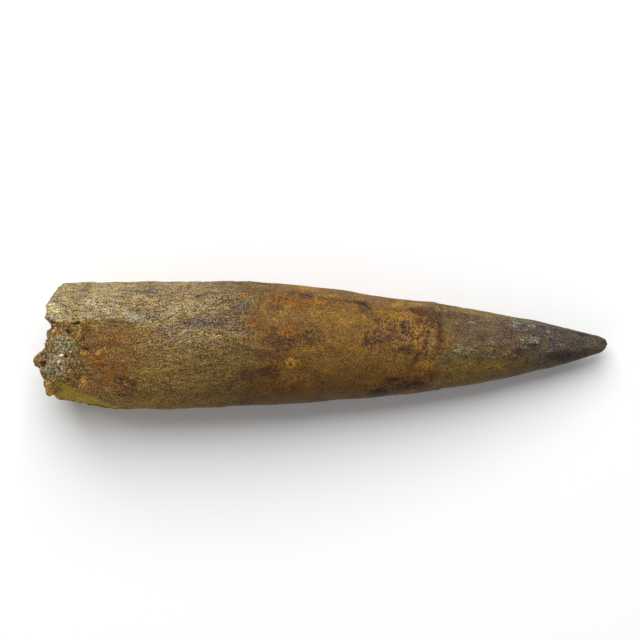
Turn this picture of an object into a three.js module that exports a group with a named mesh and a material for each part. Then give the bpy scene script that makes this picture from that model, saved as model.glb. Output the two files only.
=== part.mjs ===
// A fossil tooth of a large meat-eating dinosaur, lying on its side: a long, nearly straight cone
// with a worn, blunt tip. The root end is broken across. Its hollow still holds the sandstone that
// set in it, and on the upper side the wall has come away, so that the stone shows from above too.
//
// Millimetres, +Z up. The tooth lies along X with its tip at +X, and rests on z = 0. The origin is
// on that surface, below the middle of the whole fossil.
//
// Angles run round the tooth from the top, +Z, towards the left side, +Y.
import * as THREE from "three";
import { mergeVertices } from "three/addons/utils/BufferGeometryUtils.js";

// ---- Driving dimensions ----
const TIP_X = 43.15; // end of the worn tip
const STONE_END_X = -43.15; // end of the sandstone that stands out of the root
const WALL = 2.3; // thickness of the root's wall at the break
const SOCKET_FLOOR_X = -30; // how far in the sandstone reaches
const SEAT_GAP = 0.35; // between the sandstone and the tooth
const STONE_FACE_X = -39.9; // where the sandstone's own broken face begins, at its edge

// The outline seen from above: [x, y] along the left and the right side.
const LEFT_SIDE = [
  [-43.2, 9.0],
  [-38.9, 9.24],
  [-33.8, 9.47],
  [-24.3, 9.62],
  [-18.3, 9.63],
  [-12.3, 9.54],
  [-3.9, 9.07],
  [3.2, 8.33],
  [10.4, 7.12],
  [17.7, 6.15],
  [27.3, 4.62],
  [34.6, 3.18],
  [38.3, 2.32],
  [41.9, 1.43],
  [43.2, 1.15],
];
const RIGHT_SIDE = [
  [-43.2, -9.1],
  [-33.5, -9.38],
  [-25, -9.62],
  [-18.3, -9.26],
  [-10.8, -8.91],
  [-3.9, -8.62],
  [3.2, -8.2],
  [9.2, -7.55],
  [15.3, -6.8],
  [23.7, -5.61],
  [33.4, -3.63],
  [38.3, -2.3],
  [41.8, -1.22],
  [43.2, -0.85],
];
// The outline seen from the side: [x, z] along the back and the belly. The belly dips below z = 0,
// where the tooth is worn flat and rests.
const BACK = [
  [-43.2, 15.7],
  [-38.3, 15.9],
  [-25, 16.4],
  [-15, 16.3],
  [-4, 15.4],
  [3.2, 14.2],
  [10.4, 12.7],
  [17.7, 11.5],
  [24.4, 10.0],
  [31, 8.3],
  [38.3, 6.0],
  [41.9, 4.65],
  [43.2, 4.1],
];
const BELLY = [
  [-43.2, -0.15],
  [-38, -0.35],
  [-20, -0.38],
  [-5, -0.35],
  [5, -0.15],
  [15, 0.35],
  [25, 1.0],
  [35, 1.75],
  [43.2, 2.45],
];

// The broken rim of the root: [angle in degrees, x].
const RIM = [
  [-180, -39.2],
  [-165, -39.9],
  [-150, -38.7],
  [-135, -39.5],
  [-120, -38.9],
  [-105, -39.6],
  [-90, -39.1],
  [-75, -38.9],
  [-61, -38.9],
  [-56, -39.6],
  [-48, -40.6],
  [-40.5, -40.8],
  [-36, -40.4],
  [22, -39.9],
  [31, -40.6],
  [38, -40.45],
  [43, -40.7],
  [52.5, -40.1],
  [66, -39.5],
  [76, -38.8],
  [90, -38.7],
  [110, -39.1],
  [130, -40.0],
  [150, -39.3],
  [165, -40.1],
  [180, -39.2],
];
// The opening in the upper side, where the wall has come away, and how far forward it reaches.
const OPENING_FROM = -36; // degrees
const OPENING_TO = 20.5; // degrees
const OPENING = [
  [OPENING_FROM, -37.3],
  [-29, -36.4],
  [-20, -36.8],
  [-11, -36.95],
  [-1, -36.5],
  [6, -35.5],
  [12.5, -34.9],
  [OPENING_TO, -35.4],
];

// Flat breaks. Each takes off what lies beyond a plane, in front of an x: a point on the plane, the
// way it faces, and that x.
const CHIPS = [
  { name: "flake off the root", at: [-38.8, -8.0, 5.8], faces: [-0.22, -0.95, 0.2], from: -40.2 },
  { name: "its upper half", at: [-36.2, -6.1, 14.1], faces: [-0.32, -0.9, 0.3], from: -40.2 },
  { name: "left bevel of the tip", at: [42.3, 1.13, 3.4], faces: [0.5, 0.84, 0.2], from: 38 },
  { name: "right bevel of the tip", at: [42.45, -0.75, 3.4], faces: [0.66, -0.75, -0.05], from: 38 },
  { name: "top bevel of the tip", at: [42.2, 0.2, 4.4], faces: [0.6, 0, 0.8], from: 38 },
];
const CHIP_RUN_OUT = 1.3; // how far in front of that x a break is at its full depth

// The cutting edges: low ridges that run to the tip on opposite sides of the crown.
const CUTTING_EDGES = [52, -129]; // degrees
const CUTTING_EDGE_HEIGHT = 0.22;
const CUTTING_EDGE_HALF_WIDTH = 9; // degrees
const CUTTING_EDGE_START_X = -5;

// A glaze of mineral on the crown thickens towards the tip and ends in a low step across it.
const GLAZE_FROM_X = 2;
const GLAZE_END_X = 17.3;
const GLAZE_THICKNESS = 0.17;
// On the root the outer layer has a low edge that runs along the tooth.
const LAYER_EDGE_ANGLE = 20; // degrees
const LAYER_THICKNESS = 0.16;
const LAYER_FROM_X = -37;
const LAYER_TO_X = -12;
// In front of the missing wall the root's surface is worn lower, over an oval.
const WORN = { x: -33, angle: -22, reachX: 6.5, reachAngle: 30, depth: 0.45 };
// Small hollows: [x, angle in degrees, radius, depth].
const PITS = [
  [-34.6, 9, 1.5, 0.5],
  [-31.2, -2, 1.2, 0.35],
  [-29.4, -34, 1.4, 0.4],
  [-25.5, -52, 1.6, 0.35],
  [-7, 34, 1.5, 0.3],
  [-2.5, -28, 1.6, 0.25],
  [-22, 120, 1.8, 0.4],
  [-30, 150, 1.5, 0.4],
  [-12, -110, 1.8, 0.35],
  [24, 15, 1.4, 0.25],
  [29, -30, 1.3, 0.25],
  [8, 160, 1.6, 0.3],
];
// Gentle waves that keep it from being a perfect cone: [height, per mm along x, per turn, phase].
const WAVES = [
  [0.07, 0.21, 2, 0.4],
  [0.05, 0.43, 3, 1.9],
  [0.035, 0.85, 5, 4.1],
];

// The furthest point of the sandstone, and how its broken face falls away from it:
// [distance from the point, x].
const STONE_NUB = new THREE.Vector3(STONE_END_X, -2.25, 8.5);
const STONE_FACE = [
  [0, STONE_END_X],
  [0.5, -43.05],
  [1.1, -42.3],
  [2.0, -41.6],
  [3.4, -41.0],
  [4.8, -40.5],
  [7, STONE_FACE_X],
  [12, STONE_FACE_X],
];
const STONE_FACE_TILT = 0.1; // mm further in for each mm towards the left side
// In the opening the stone swells to this far below the tooth's surface, at the rim and where its
// own face begins.
const SWELL_AT_RIM = 0.35;
const SWELL_AT_FACE = 1.0;
const SWELL_INSET = 3; // degrees between the opening's sides and the swelling
// The lumps of its broken face: [height, per mm along y, per mm along z, phase].
const STONE_LUMPS = [
  [0.3, 1.3, 0.8, 0.5],
  [0.25, -0.9, 1.7, 2.1],
  [0.15, 2.9, -1.1, 4.0],
  [0.12, 1.9, 3.1, 1.2],
];

// ---- Small functions ----
const radians = THREE.MathUtils.degToRad;
const lerp = THREE.MathUtils.lerp;
const clamp = THREE.MathUtils.clamp;
const smooth = THREE.MathUtils.smoothstep;

/** A smooth curve through [x, value] stations that never overshoots them, as a function of x. */
function through(stations) {
  const last = stations.length - 1;
  const rise = stations
    .slice(1)
    .map(([x, v], i) => (v - stations[i][1]) / (x - stations[i][0]));
  const slope = stations.map((_, i) => {
    if (i === 0) return rise[0];
    if (i === last) return rise[last - 1];
    const [before, after] = [rise[i - 1], rise[i]];
    return before * after <= 0 ? 0 : (2 * before * after) / (before + after);
  });
  return (x) => {
    let i = 0;
    while (i < last - 1 && x > stations[i + 1][0]) i++;
    const [x0, v0] = stations[i];
    const [x1, v1] = stations[i + 1];
    const span = x1 - x0;
    const t = clamp((x - x0) / span, 0, 1);
    const [tt, ttt] = [t * t, t * t * t];
    return (
      (2 * ttt - 3 * tt + 1) * v0 +
      (ttt - 2 * tt + t) * span * slope[i] +
      (3 * tt - 2 * ttt) * v1 +
      (ttt - tt) * span * slope[i + 1]
    );
  };
}

/** How far two angles in degrees are apart, from 0 to 180. */
function apart(a, b) {
  return Math.abs(THREE.MathUtils.euclideanModulo(a - b + 180, 360) - 180);
}

const leftSide = through(LEFT_SIDE);
const rightSide = through(RIGHT_SIDE);
const back = through(BACK);
const belly = through(BELLY);
const wholeRim = through(RIM);
const openingRim = through(OPENING);
const stoneFace = through(STONE_FACE);

/** Whether the wall has come away at that angle, or that much further in from the opening's sides. */
function isOpen(angle, inset = 0) {
  return angle >= OPENING_FROM + inset && angle <= OPENING_TO - inset;
}

/** Where the tooth's wall ends at that angle. */
function rim(angle) {
  return isOpen(angle) ? openingRim(angle) : wholeRim(angle);
}

/** The oval section of the tooth at x: its middle and its half sizes. */
function section(x) {
  return {
    middleY: (leftSide(x) + rightSide(x)) / 2,
    middleZ: (back(x) + belly(x)) / 2,
    halfWidth: (leftSide(x) - rightSide(x)) / 2,
    halfHeight: (back(x) - belly(x)) / 2,
  };
}

/** A point at that angle on the section's oval, drawn in by a depth. */
function onOval(x, angle, depth) {
  const s = section(x);
  return new THREE.Vector3(
    x,
    s.middleY + (s.halfWidth - depth) * Math.sin(radians(angle)),
    s.middleZ + (s.halfHeight - depth) * Math.cos(radians(angle)),
  );
}

/** How far the weathered surface stands above the plain oval there. */
function relief(x, angle) {
  const turn = radians(angle);
  let height = 0;
  for (const [size, perMm, perTurn, phase] of WAVES)
    height += size * Math.sin(perMm * x + perTurn * turn + phase);
  height *= smooth(TIP_X - x, 0, 12);

  const edgeGrown = smooth(x, CUTTING_EDGE_START_X, CUTTING_EDGE_START_X + 14);
  const edgeWorn = smooth(TIP_X - x, 1, 6);
  for (const edge of CUTTING_EDGES) {
    const near = Math.max(0, 1 - apart(angle, edge) / CUTTING_EDGE_HALF_WIDTH);
    height += CUTTING_EDGE_HEIGHT * near * edgeGrown * edgeWorn;
  }

  const glaze = smooth(x, GLAZE_FROM_X, GLAZE_END_X) * smooth(GLAZE_END_X - x, -0.2, 0.2);
  height += GLAZE_THICKNESS * glaze;

  const past = angle - LAYER_EDGE_ANGLE;
  const layered = smooth(past, -3, 3) * smooth(60 - past, 0, 50);
  const alongLayer = smooth(x, LAYER_FROM_X, LAYER_FROM_X + 3) * smooth(LAYER_TO_X - x, 0, 9);
  height += LAYER_THICKNESS * layered * alongLayer;

  const off = Math.hypot((x - WORN.x) / WORN.reachX, apart(angle, WORN.angle) / WORN.reachAngle);
  height -= WORN.depth * smooth(1 - off, 0, 0.6);

  for (const [pitX, pitAngle, radius, depth] of PITS) {
    const across = radians(apart(angle, pitAngle)) * section(pitX).halfWidth;
    height -= depth * smooth(1 - Math.hypot(x - pitX, across) / radius, 0, 1);
  }
  return height;
}

/** Moves a point that lies beyond a chip's plane back on to it. */
function chipped(point) {
  for (const { at, faces, from } of CHIPS) {
    const normal = new THREE.Vector3(...faces).normalize();
    const beyond = normal.dot(point) - normal.dot(new THREE.Vector3(...at));
    const share = smooth(point.x, from, from + CHIP_RUN_OUT);
    if (beyond > 0) point.addScaledVector(normal, -beyond * share);
  }
  return point;
}

/** A point on the outer surface of the tooth. */
function skin(x, angle) {
  const point = chipped(onOval(x, angle, -relief(x, angle)));
  point.z = Math.max(0, point.z);
  return point;
}

/** How deep below the oval the hollow's wall lies at x: deeper where the hollow closes in. */
function hollowDepth(x) {
  const t = clamp((x - STONE_FACE_X) / (SOCKET_FLOOR_X - STONE_FACE_X), 0, 1);
  const closing = 1 - Math.sqrt(1 - t * t * t);
  return WALL + closing * (section(x).halfHeight - WALL);
}

/** The same unevenness for the same two numbers, from -1 to 1. */
function uneven(i, j) {
  const s = Math.sin(i * 127.1 + j * 311.7) * 43758.5453;
  return 2 * (s - Math.floor(s)) - 1;
}

/** One closed body from rings of points between two end points, faces outwards. */
function closedBody(start, rings, end) {
  const positions = [start, ...rings.flat(), end].flatMap((p) => p.toArray());
  const columns = rings[0].length;
  const at = (r, c) => 1 + r * columns + (c % columns);
  const endIndex = 1 + rings.length * columns;
  const faces = [];
  for (let c = 0; c < columns; c++) {
    faces.push(0, at(0, c + 1), at(0, c));
    for (let r = 0; r + 1 < rings.length; r++) {
      faces.push(at(r, c), at(r + 1, c + 1), at(r + 1, c));
      faces.push(at(r, c), at(r, c + 1), at(r + 1, c + 1));
    }
    faces.push(at(rings.length - 1, c), at(rings.length - 1, c + 1), endIndex);
  }
  const geometry = new THREE.BufferGeometry();
  geometry.setAttribute("position", new THREE.Float32BufferAttribute(positions, 3));
  geometry.setIndex(faces);
  return mergeVertices(geometry);
}

/** Angles evenly spaced from one to another, both of them included. */
function evenly(from, to, count) {
  return Array.from({ length: count }, (_, i) => lerp(from, to, i / (count - 1)));
}

/**
 * Angles round the tooth. Two lie close together at each side of the opening, so that its sides are
 * steep; an inset moves them into the opening.
 */
function anglesAround(inset, sideWidth) {
  const from = OPENING_FROM + inset;
  const to = OPENING_TO - inset;
  return [
    ...evenly(-180, from - sideWidth, 16),
    ...evenly(from, to, 12),
    ...evenly(to + sideWidth, 180, 19).slice(0, -1),
  ];
}

// ---- The tooth: root and crown, grown as one ----
function toothGeometry() {
  const angles = anglesAround(0, 1.5);
  const ring = (pointAt) => angles.map(pointAt);

  // The last rows lean over to follow the rim; the ones before them cross the tooth squarely.
  const stations = [43.0, 42.6, 42.0, 41.2, 40.2];
  for (let x = 39; x > GLAZE_END_X + 1; x -= 1.3) stations.push(x);
  stations.push(GLAZE_END_X + 0.3, GLAZE_END_X - 0.3);
  for (let x = GLAZE_END_X - 1.4; x > -30; x -= 1.3) stations.push(x);
  const rings = stations.map((x) => ring((a) => skin(x, a)));
  const square = stations.at(-1);
  const LEANING_ROWS = 9;
  for (let i = 1; i <= LEANING_ROWS; i++)
    rings.push(ring((a) => skin(lerp(square, rim(a) + 0.25, i / LEANING_ROWS), a)));

  // Over the rough broken rim, and down the hollow's wall to its floor.
  const hollow = (x, a) => onOval(x, a, hollowDepth(x));
  const broken = (share, sticksOut) => (a) => {
    const point = skin(rim(a) + 0.25, a).lerp(hollow(rim(a) + 0.3, a), share);
    point.x -= sticksOut + 0.1 * uneven(a, share);
    return point;
  };
  rings.push(ring(broken(0.24, 0.25)), ring(broken(0.55, 0.15)));
  for (const t of [0, 0.3, 0.55, 0.75, 0.9])
    rings.push(ring((a) => hollow(lerp(rim(a) + 0.3, SOCKET_FLOOR_X, t), a)));
  const tip = new THREE.Vector3(TIP_X, 0.2, 3.3);
  const floor = section(SOCKET_FLOOR_X);
  return closedBody(tip, rings, new THREE.Vector3(SOCKET_FLOOR_X, floor.middleY, floor.middleZ));
}

// ---- The sandstone in the root ----

/** How far the stone's broken surface stands out at a point across it. */
function stoneLumps(y, z) {
  let height = 0;
  for (const [size, perY, perZ, phase] of STONE_LUMPS)
    height += size * Math.sin(perY * y + perZ * z + phase);
  return height;
}

function stoneGeometry() {
  const angles = anglesAround(SWELL_INSET, 1.5);
  const ring = (pointAt) => angles.map(pointAt);

  // It fills the hollow as far as the rim, or as far as its own broken face where the rim is beyond.
  const leaves = (a) => Math.max(rim(a) - 0.35, STONE_FACE_X + 0.3);
  const filling = (x, a) => onOval(x, a, hollowDepth(x) + SEAT_GAP);
  const rings = [0.2, 0.45, 0.7, 1].map((t) =>
    ring((a) => filling(lerp(SOCKET_FLOOR_X - 0.45, leaves(a), t), a)),
  );
  // In the opening it swells out, nearly level with the tooth's surface.
  const outside = (a, t) => {
    const x = lerp(leaves(a), STONE_FACE_X, t);
    if (!isOpen(a, SWELL_INSET)) return filling(x, a);
    return onOval(x, a, lerp(SWELL_AT_RIM, SWELL_AT_FACE, t * t) + 0.15 * uneven(a, 5 + t));
  };
  for (const t of [0, 0.33, 0.66, 1]) rings.push(ring((a) => outside(a, t)));
  for (const share of [0.88, 0.75, 0.61, 0.47, 0.34, 0.22, 0.12, 0.06]) {
    rings.push(
      ring((a) => {
        const point = STONE_NUB.clone().lerp(outside(a, 1), share);
        const off = Math.hypot(point.y - STONE_NUB.y, point.z - STONE_NUB.z);
        const lumpy = smooth(off, 0.6, 2.2) * smooth(1 - share, 0, 0.2);
        const tilt = STONE_FACE_TILT * (point.y - STONE_NUB.y);
        point.x = stoneFace(off) + lumpy * (stoneLumps(point.y, point.z) + tilt);
        return point;
      }),
    );
  }
  const floor = section(SOCKET_FLOOR_X);
  const start = new THREE.Vector3(SOCKET_FLOOR_X - 0.4, floor.middleY, floor.middleZ);
  return closedBody(start, rings, STONE_NUB);
}

function named(name, geometry, material) {
  const mesh = new THREE.Mesh(geometry, new THREE.MeshStandardMaterial(material));
  mesh.name = name;
  return mesh;
}

const fossil = new THREE.Group();
fossil.add(
  named("tooth", toothGeometry(), { color: 0x7e5d33, roughness: 0.55, metalness: 0 }),
  named("sandstone", stoneGeometry(), { color: 0x85754f, roughness: 0.95, metalness: 0 }),
);

export default fossil;
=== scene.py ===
"""A fossil tooth of a large meat-eating dinosaur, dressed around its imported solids.

The tooth lies along X with its worn tip at +X and its broken root at -X, and rests on z = 0. Forms
are worked out in millimetres and made into meshes in metres. Angles run round the tooth in degrees
from the top, +Z, towards its left side, +Y.
"""

import logging
import math
from collections.abc import Callable, Mapping, Sequence
from dataclasses import dataclass, field
from enum import Enum

import bpy
import numpy as np
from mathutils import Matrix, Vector

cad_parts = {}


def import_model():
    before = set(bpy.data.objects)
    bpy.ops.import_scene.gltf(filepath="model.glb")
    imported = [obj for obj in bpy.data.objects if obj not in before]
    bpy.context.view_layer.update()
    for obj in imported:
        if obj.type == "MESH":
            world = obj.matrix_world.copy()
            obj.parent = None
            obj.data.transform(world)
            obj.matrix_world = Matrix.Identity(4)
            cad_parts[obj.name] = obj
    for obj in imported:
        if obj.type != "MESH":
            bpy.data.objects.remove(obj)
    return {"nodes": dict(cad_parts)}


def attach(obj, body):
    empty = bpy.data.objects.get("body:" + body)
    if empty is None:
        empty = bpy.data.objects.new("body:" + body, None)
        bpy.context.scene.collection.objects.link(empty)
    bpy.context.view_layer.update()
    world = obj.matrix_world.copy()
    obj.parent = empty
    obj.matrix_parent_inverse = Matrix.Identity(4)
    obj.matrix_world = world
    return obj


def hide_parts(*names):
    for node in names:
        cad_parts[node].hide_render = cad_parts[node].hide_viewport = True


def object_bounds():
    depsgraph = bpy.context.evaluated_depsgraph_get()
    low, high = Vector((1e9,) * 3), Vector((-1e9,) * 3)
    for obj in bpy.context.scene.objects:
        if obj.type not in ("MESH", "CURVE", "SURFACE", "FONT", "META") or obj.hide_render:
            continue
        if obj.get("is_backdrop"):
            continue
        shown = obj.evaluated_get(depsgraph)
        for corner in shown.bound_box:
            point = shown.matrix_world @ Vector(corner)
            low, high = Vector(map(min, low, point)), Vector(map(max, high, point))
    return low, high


LOG = logging.getLogger("fossil_tooth")
MM = 0.001

Span = tuple[float, float]
Stations = tuple[Span, ...]
Colour = tuple[float, float, float, float]
Box = Sequence[Sequence[float]]


# ---------------------------------------------------------------------------------------------
# Numbers: curves and random fields
# ---------------------------------------------------------------------------------------------


def ease(value: np.ndarray, low: float, high: float) -> np.ndarray:
    """Rises smoothly from 0 to 1.

    Args:
        value: The numbers to judge.
        low: Where the rise starts.
        high: Where it ends; below low for a rise the other way.

    Returns:
        One number from 0 to 1 for each value.
    """
    t = np.clip((value - low) / (high - low), 0.0, 1.0)
    return t * t * (3 - 2 * t)


def apart(first: np.ndarray, second: float) -> np.ndarray:
    """How far angles in degrees are from another, from 0 to 180."""
    return np.abs((first - second + 180) % 360 - 180)


def spread(spans: Sequence[tuple[float, float, int]]) -> np.ndarray:
    """Angles spread evenly over spans, each given as from, to and how many."""
    return np.concatenate([np.linspace(a, b, n, endpoint=False) for a, b, n in spans])


class Profile:
    """A smooth curve through stations that never overshoots them."""

    def __init__(self, stations: Stations) -> None:
        """Works out the slopes.

        Args:
            stations: Pairs of place and value, in rising order of place.
        """
        self.places = np.array([s[0] for s in stations], float)
        self.values = np.array([s[1] for s in stations], float)
        rise = np.diff(self.values) / np.diff(self.places)
        before, after = rise[:-1], rise[1:]
        product = before * after
        total = np.where(product > 0, before + after, 1.0)
        inner = np.where(product > 0, 2 * product / total, 0.0)
        self.slopes = np.concatenate([rise[:1], inner, rise[-1:]])

    def __call__(self, place: np.ndarray) -> np.ndarray:
        """Reads the curve.

        Args:
            place: Where to read it.

        Returns:
            The value at each place.
        """
        i = np.clip(np.searchsorted(self.places, place) - 1, 0, len(self.places) - 2)
        span = self.places[i + 1] - self.places[i]
        t = np.clip((place - self.places[i]) / span, 0.0, 1.0)
        return (
            (2 * t**3 - 3 * t**2 + 1) * self.values[i]
            + (t**3 - 2 * t**2 + t) * span * self.slopes[i]
            + (3 * t**2 - 2 * t**3) * self.values[i + 1]
            + (t**3 - t**2) * span * self.slopes[i + 1]
        )


class Noise:
    """Random fields in space that are the same on every run."""

    def __init__(self, seed: int) -> None:
        """Keeps the seed, a whole number."""
        self.seed = np.uint32(seed * 7919 + 17)

    def _hash(self, cell: np.ndarray) -> np.ndarray:
        """Mixes whole-numbered cells.

        Args:
            cell: Whole numbers, three to a cell.

        Returns:
            One unsigned number for each cell.
        """
        c = cell.astype(np.int64).astype(np.uint32)
        h = c[..., 0] * np.uint32(374761393) + c[..., 1] * np.uint32(668265263)
        h = h + c[..., 2] * np.uint32(2246822519) + self.seed
        h = (h ^ (h >> np.uint32(13))) * np.uint32(1274126177)
        h = (h ^ (h >> np.uint32(15))) * np.uint32(2654435761)
        return h ^ (h >> np.uint32(16))

    def _parts(self, cell: np.ndarray) -> np.ndarray:
        """Draws three numbers for each cell.

        Args:
            cell: Whole numbers, three to a cell.

        Returns:
            Three numbers from 0 to 1 for each.
        """
        h = self._hash(cell)
        mask = np.uint32(1023)
        parts = [(h >> np.uint32(shift)) & mask for shift in (0, 10, 20)]
        return np.stack(parts, axis=-1) / 1023.0

    def smooth(self, points: np.ndarray) -> np.ndarray:
        """Soft hills and hollows about one unit wide.

        Args:
            points: Places, three numbers each.

        Returns:
            A number from about -1 to 1 for each place.
        """
        base = np.floor(points)
        off = points - base
        fade = off**3 * (off * (off * 6 - 15) + 10)
        total = np.zeros(points.shape[:-1])
        for corner in np.ndindex(2, 2, 2):
            step = np.array(corner, float)
            slope = self._parts(base + step) * 2 - 1
            weight = np.prod(np.where(step > 0, fade, 1 - fade), axis=-1)
            total += weight * np.sum(slope * (off - step), axis=-1)
        return total * 1.5

    def layered(self, points: np.ndarray, layers: int = 3, gain: float = 0.5) -> np.ndarray:
        """Hills with smaller hills on them.

        Args:
            points: Places, three numbers each.
            layers: How many sizes of hill.
            gain: How high each is beside the one before.

        Returns:
            A number from about -1 to 1 for each place.
        """
        total = np.zeros(points.shape[:-1])
        height = 1.0
        for layer in range(layers):
            total += height * self.smooth(points * 2.03**layer + 11.7 * layer)
            height *= gain
        return total

    def grains(self, points: np.ndarray) -> tuple[np.ndarray, np.ndarray]:
        """Packs space with grains about one unit wide.

        Args:
            points: Places, three numbers each.

        Returns:
            The distance from each place to its nearest grain's middle, and a random number from 0
            to 1 that belongs to that grain.
        """
        base = np.floor(points)
        nearest = np.full(points.shape[:-1], 9.0)
        lot = np.zeros(points.shape[:-1])
        for neighbour in np.ndindex(3, 3, 3):
            cell = base + np.array(neighbour, float) - 1
            parts = self._parts(cell)
            distance = np.linalg.norm(cell + 0.15 + 0.7 * parts - points, axis=-1)
            closer = distance < nearest
            nearest = np.where(closer, distance, nearest)
            lot = np.where(closer, (parts[..., 0] * 7.31 + parts[..., 1] * 3.7) % 1.0, lot)
        return nearest, lot


def stretched(points: np.ndarray, along: float, across: float) -> np.ndarray:
    """Places scaled for a field that is stretched along the tooth.

    Args:
        points: Places in millimetres.
        along: Field units per millimetre along X.
        across: Field units per millimetre along Y and Z.

    Returns:
        The places in field units.
    """
    return points * np.array([along, across, across])


# ---------------------------------------------------------------------------------------------
# The tooth's form
# ---------------------------------------------------------------------------------------------


@dataclass(frozen=True)
class Chip:
    """A flat break: what lies beyond its plane, in front of from_x, is gone."""

    at: tuple[float, float, float]
    faces: tuple[float, float, float]
    from_x: float
    fades_over: float = 1.3

    def cut(
        self, points: np.ndarray, lead: np.ndarray | float = 0.0
    ) -> tuple[np.ndarray, np.ndarray]:
        """Moves points that lie beyond the plane on to it.

        Args:
            points: Places in millimetres.
            lead: How much sooner than from_x the break starts at each place.

        Returns:
            The moved points, and how far each one was moved.
        """
        normal = np.array(self.faces) / np.linalg.norm(self.faces)
        beyond = np.maximum(0.0, (points - np.array(self.at)) @ normal)
        moved = beyond * ease(points[..., 0] + lead - self.from_x, 0, self.fades_over)
        return points - moved[..., None] * normal, moved


@dataclass(frozen=True)
class ToothForm:
    """The form that the tooth's solid has too, in millimetres."""

    tip: tuple[float, float, float] = (43.15, 0.2, 3.3)
    wall: float = 2.3
    hollow_floor_x: float = -30.0
    stone_face_x: float = -39.9
    opening_from: float = -36.0
    opening_to: float = 20.5
    edge_angles: Span = (52.0, -129.0)
    edge_half_width: float = 9.0
    edge_height: float = 0.22
    edge_starts: Span = (-5.0, 9.0)
    edge_stops_before_tip: Span = (1.0, 6.0)
    glaze_start_x: float = 2.0
    glaze_end_x: float = 17.3
    glaze_height: float = 0.17
    layer_edge_angle: float = 20.0
    layer_height: float = 0.16
    layer_starts: Span = (-37.0, -34.0)
    layer_stops: Span = (-12.0, -21.0)
    waves_fade_over: float = 12.0
    # A shallow dish in the root: x, angle, half length, half width in degrees, depth.
    dish: tuple[float, float, float, float, float] = (-33.0, -22.0, 6.5, 30.0, 0.45)
    left_side: Profile = Profile(
        (
            (-43.2, 9.0), (-38.9, 9.24), (-33.8, 9.47), (-24.3, 9.62), (-18.3, 9.63),
            (-12.3, 9.54), (-3.9, 9.07), (3.2, 8.33), (10.4, 7.12), (17.7, 6.15),
            (27.3, 4.62), (34.6, 3.18), (38.3, 2.32), (41.9, 1.43), (43.2, 1.15),
        )
    )
    right_side: Profile = Profile(
        (
            (-43.2, -9.1), (-33.5, -9.38), (-25, -9.62), (-18.3, -9.26), (-10.8, -8.91),
            (-3.9, -8.62), (3.2, -8.2), (9.2, -7.55), (15.3, -6.8), (23.7, -5.61),
            (33.4, -3.63), (38.3, -2.3), (41.8, -1.22), (43.2, -0.85),
        )
    )
    back: Profile = Profile(
        (
            (-43.2, 15.7), (-38.3, 15.9), (-25, 16.4), (-15, 16.3), (-4, 15.4),
            (3.2, 14.2), (10.4, 12.7), (17.7, 11.5), (24.4, 10.0), (31, 8.3),
            (38.3, 6.0), (41.9, 4.65), (43.2, 4.1),
        )
    )
    belly: Profile = Profile(
        (
            (-43.2, -0.15), (-38, -0.35), (-20, -0.38), (-5, -0.35), (5, -0.15),
            (15, 0.35), (25, 1.0), (35, 1.75), (43.2, 2.45),
        )
    )
    whole_rim: Profile = Profile(
        (
            (-180, -39.2), (-165, -39.9), (-150, -38.7), (-135, -39.6), (-120, -39.9),
            (-105, -40.7), (-90, -41.0), (-75, -41.0), (-66, -40.9), (-61, -40.8),
            (-56, -40.6), (-48, -40.65), (-40.5, -40.8), (-36, -40.4), (22, -39.9), (31, -40.6),
            (38, -40.45), (43, -40.7), (52.5, -40.1), (66, -39.5), (76, -38.8),
            (90, -38.7), (110, -39.1), (130, -40.0), (150, -39.3), (165, -40.1),
            (180, -39.2),
        )
    )
    opening_rim: Profile = Profile(
        (
            (-36, -37.3), (-29, -36.4), (-20, -36.8), (-11, -36.95), (-1, -36.5),
            (6, -35.5), (12.5, -34.9), (20.5, -35.4),
        )
    )
    flakes: tuple[Chip, ...] = (
        Chip((-38.8, -8.0, 5.8), (-0.22, -0.95, 0.2), -39.9),
        Chip((-36.2, -6.1, 14.1), (-0.32, -0.9, 0.3), -39.9),
    )
    bevels: tuple[Chip, ...] = (
        Chip((42.3, 1.13, 3.4), (0.5, 0.84, 0.2), 38),
        Chip((42.45, -0.75, 3.4), (0.66, -0.75, -0.05), 38),
        Chip((42.2, 0.2, 4.4), (0.6, 0, 0.8), 38),
    )
    # Worn pits: x, angle, radius, depth.
    pits: tuple[tuple[float, float, float, float], ...] = (
        (-34.6, 9, 1.5, 0.5), (-31.2, -2, 1.2, 0.35), (-29.4, -34, 1.4, 0.4),
        (-25.5, -52, 1.6, 0.35), (-7, 34, 1.5, 0.3), (-2.5, -28, 1.6, 0.25),
        (-22, 120, 1.8, 0.4), (-30, 150, 1.5, 0.4), (-12, -110, 1.8, 0.35),
        (24, 15, 1.4, 0.25), (29, -30, 1.3, 0.25), (8, 160, 1.6, 0.3),
    )
    # Long low waves: height, turn for each millimetre, turns round the tooth, starting turn.
    waves: tuple[tuple[float, float, float, float], ...] = (
        (0.07, 0.21, 2, 0.4), (0.05, 0.43, 3, 1.9), (0.035, 0.85, 5, 4.1),
    )

    def half_width(self, x: np.ndarray) -> np.ndarray:
        """Half the oval section's width at x."""
        return (self.left_side(x) - self.right_side(x)) / 2

    def half_height(self, x: np.ndarray) -> np.ndarray:
        """Half the oval section's height at x."""
        return (self.back(x) - self.belly(x)) / 2

    def on_oval(self, x: np.ndarray, angle: np.ndarray, depth: np.ndarray) -> np.ndarray:
        """Places on the oval section, drawn in by a depth.

        Args:
            x: Where along the tooth.
            angle: Where round it.
            depth: How far below the plain oval.

        Returns:
            Three numbers for each place.
        """
        x, angle, depth = np.broadcast_arrays(x, angle, depth)
        turn = np.radians(angle)
        middle_y = (self.left_side(x) + self.right_side(x)) / 2
        middle_z = (self.back(x) + self.belly(x)) / 2
        y = middle_y + (self.half_width(x) - depth) * np.sin(turn)
        z = middle_z + (self.half_height(x) - depth) * np.cos(turn)
        return np.stack([x, y, z], axis=-1)

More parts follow.
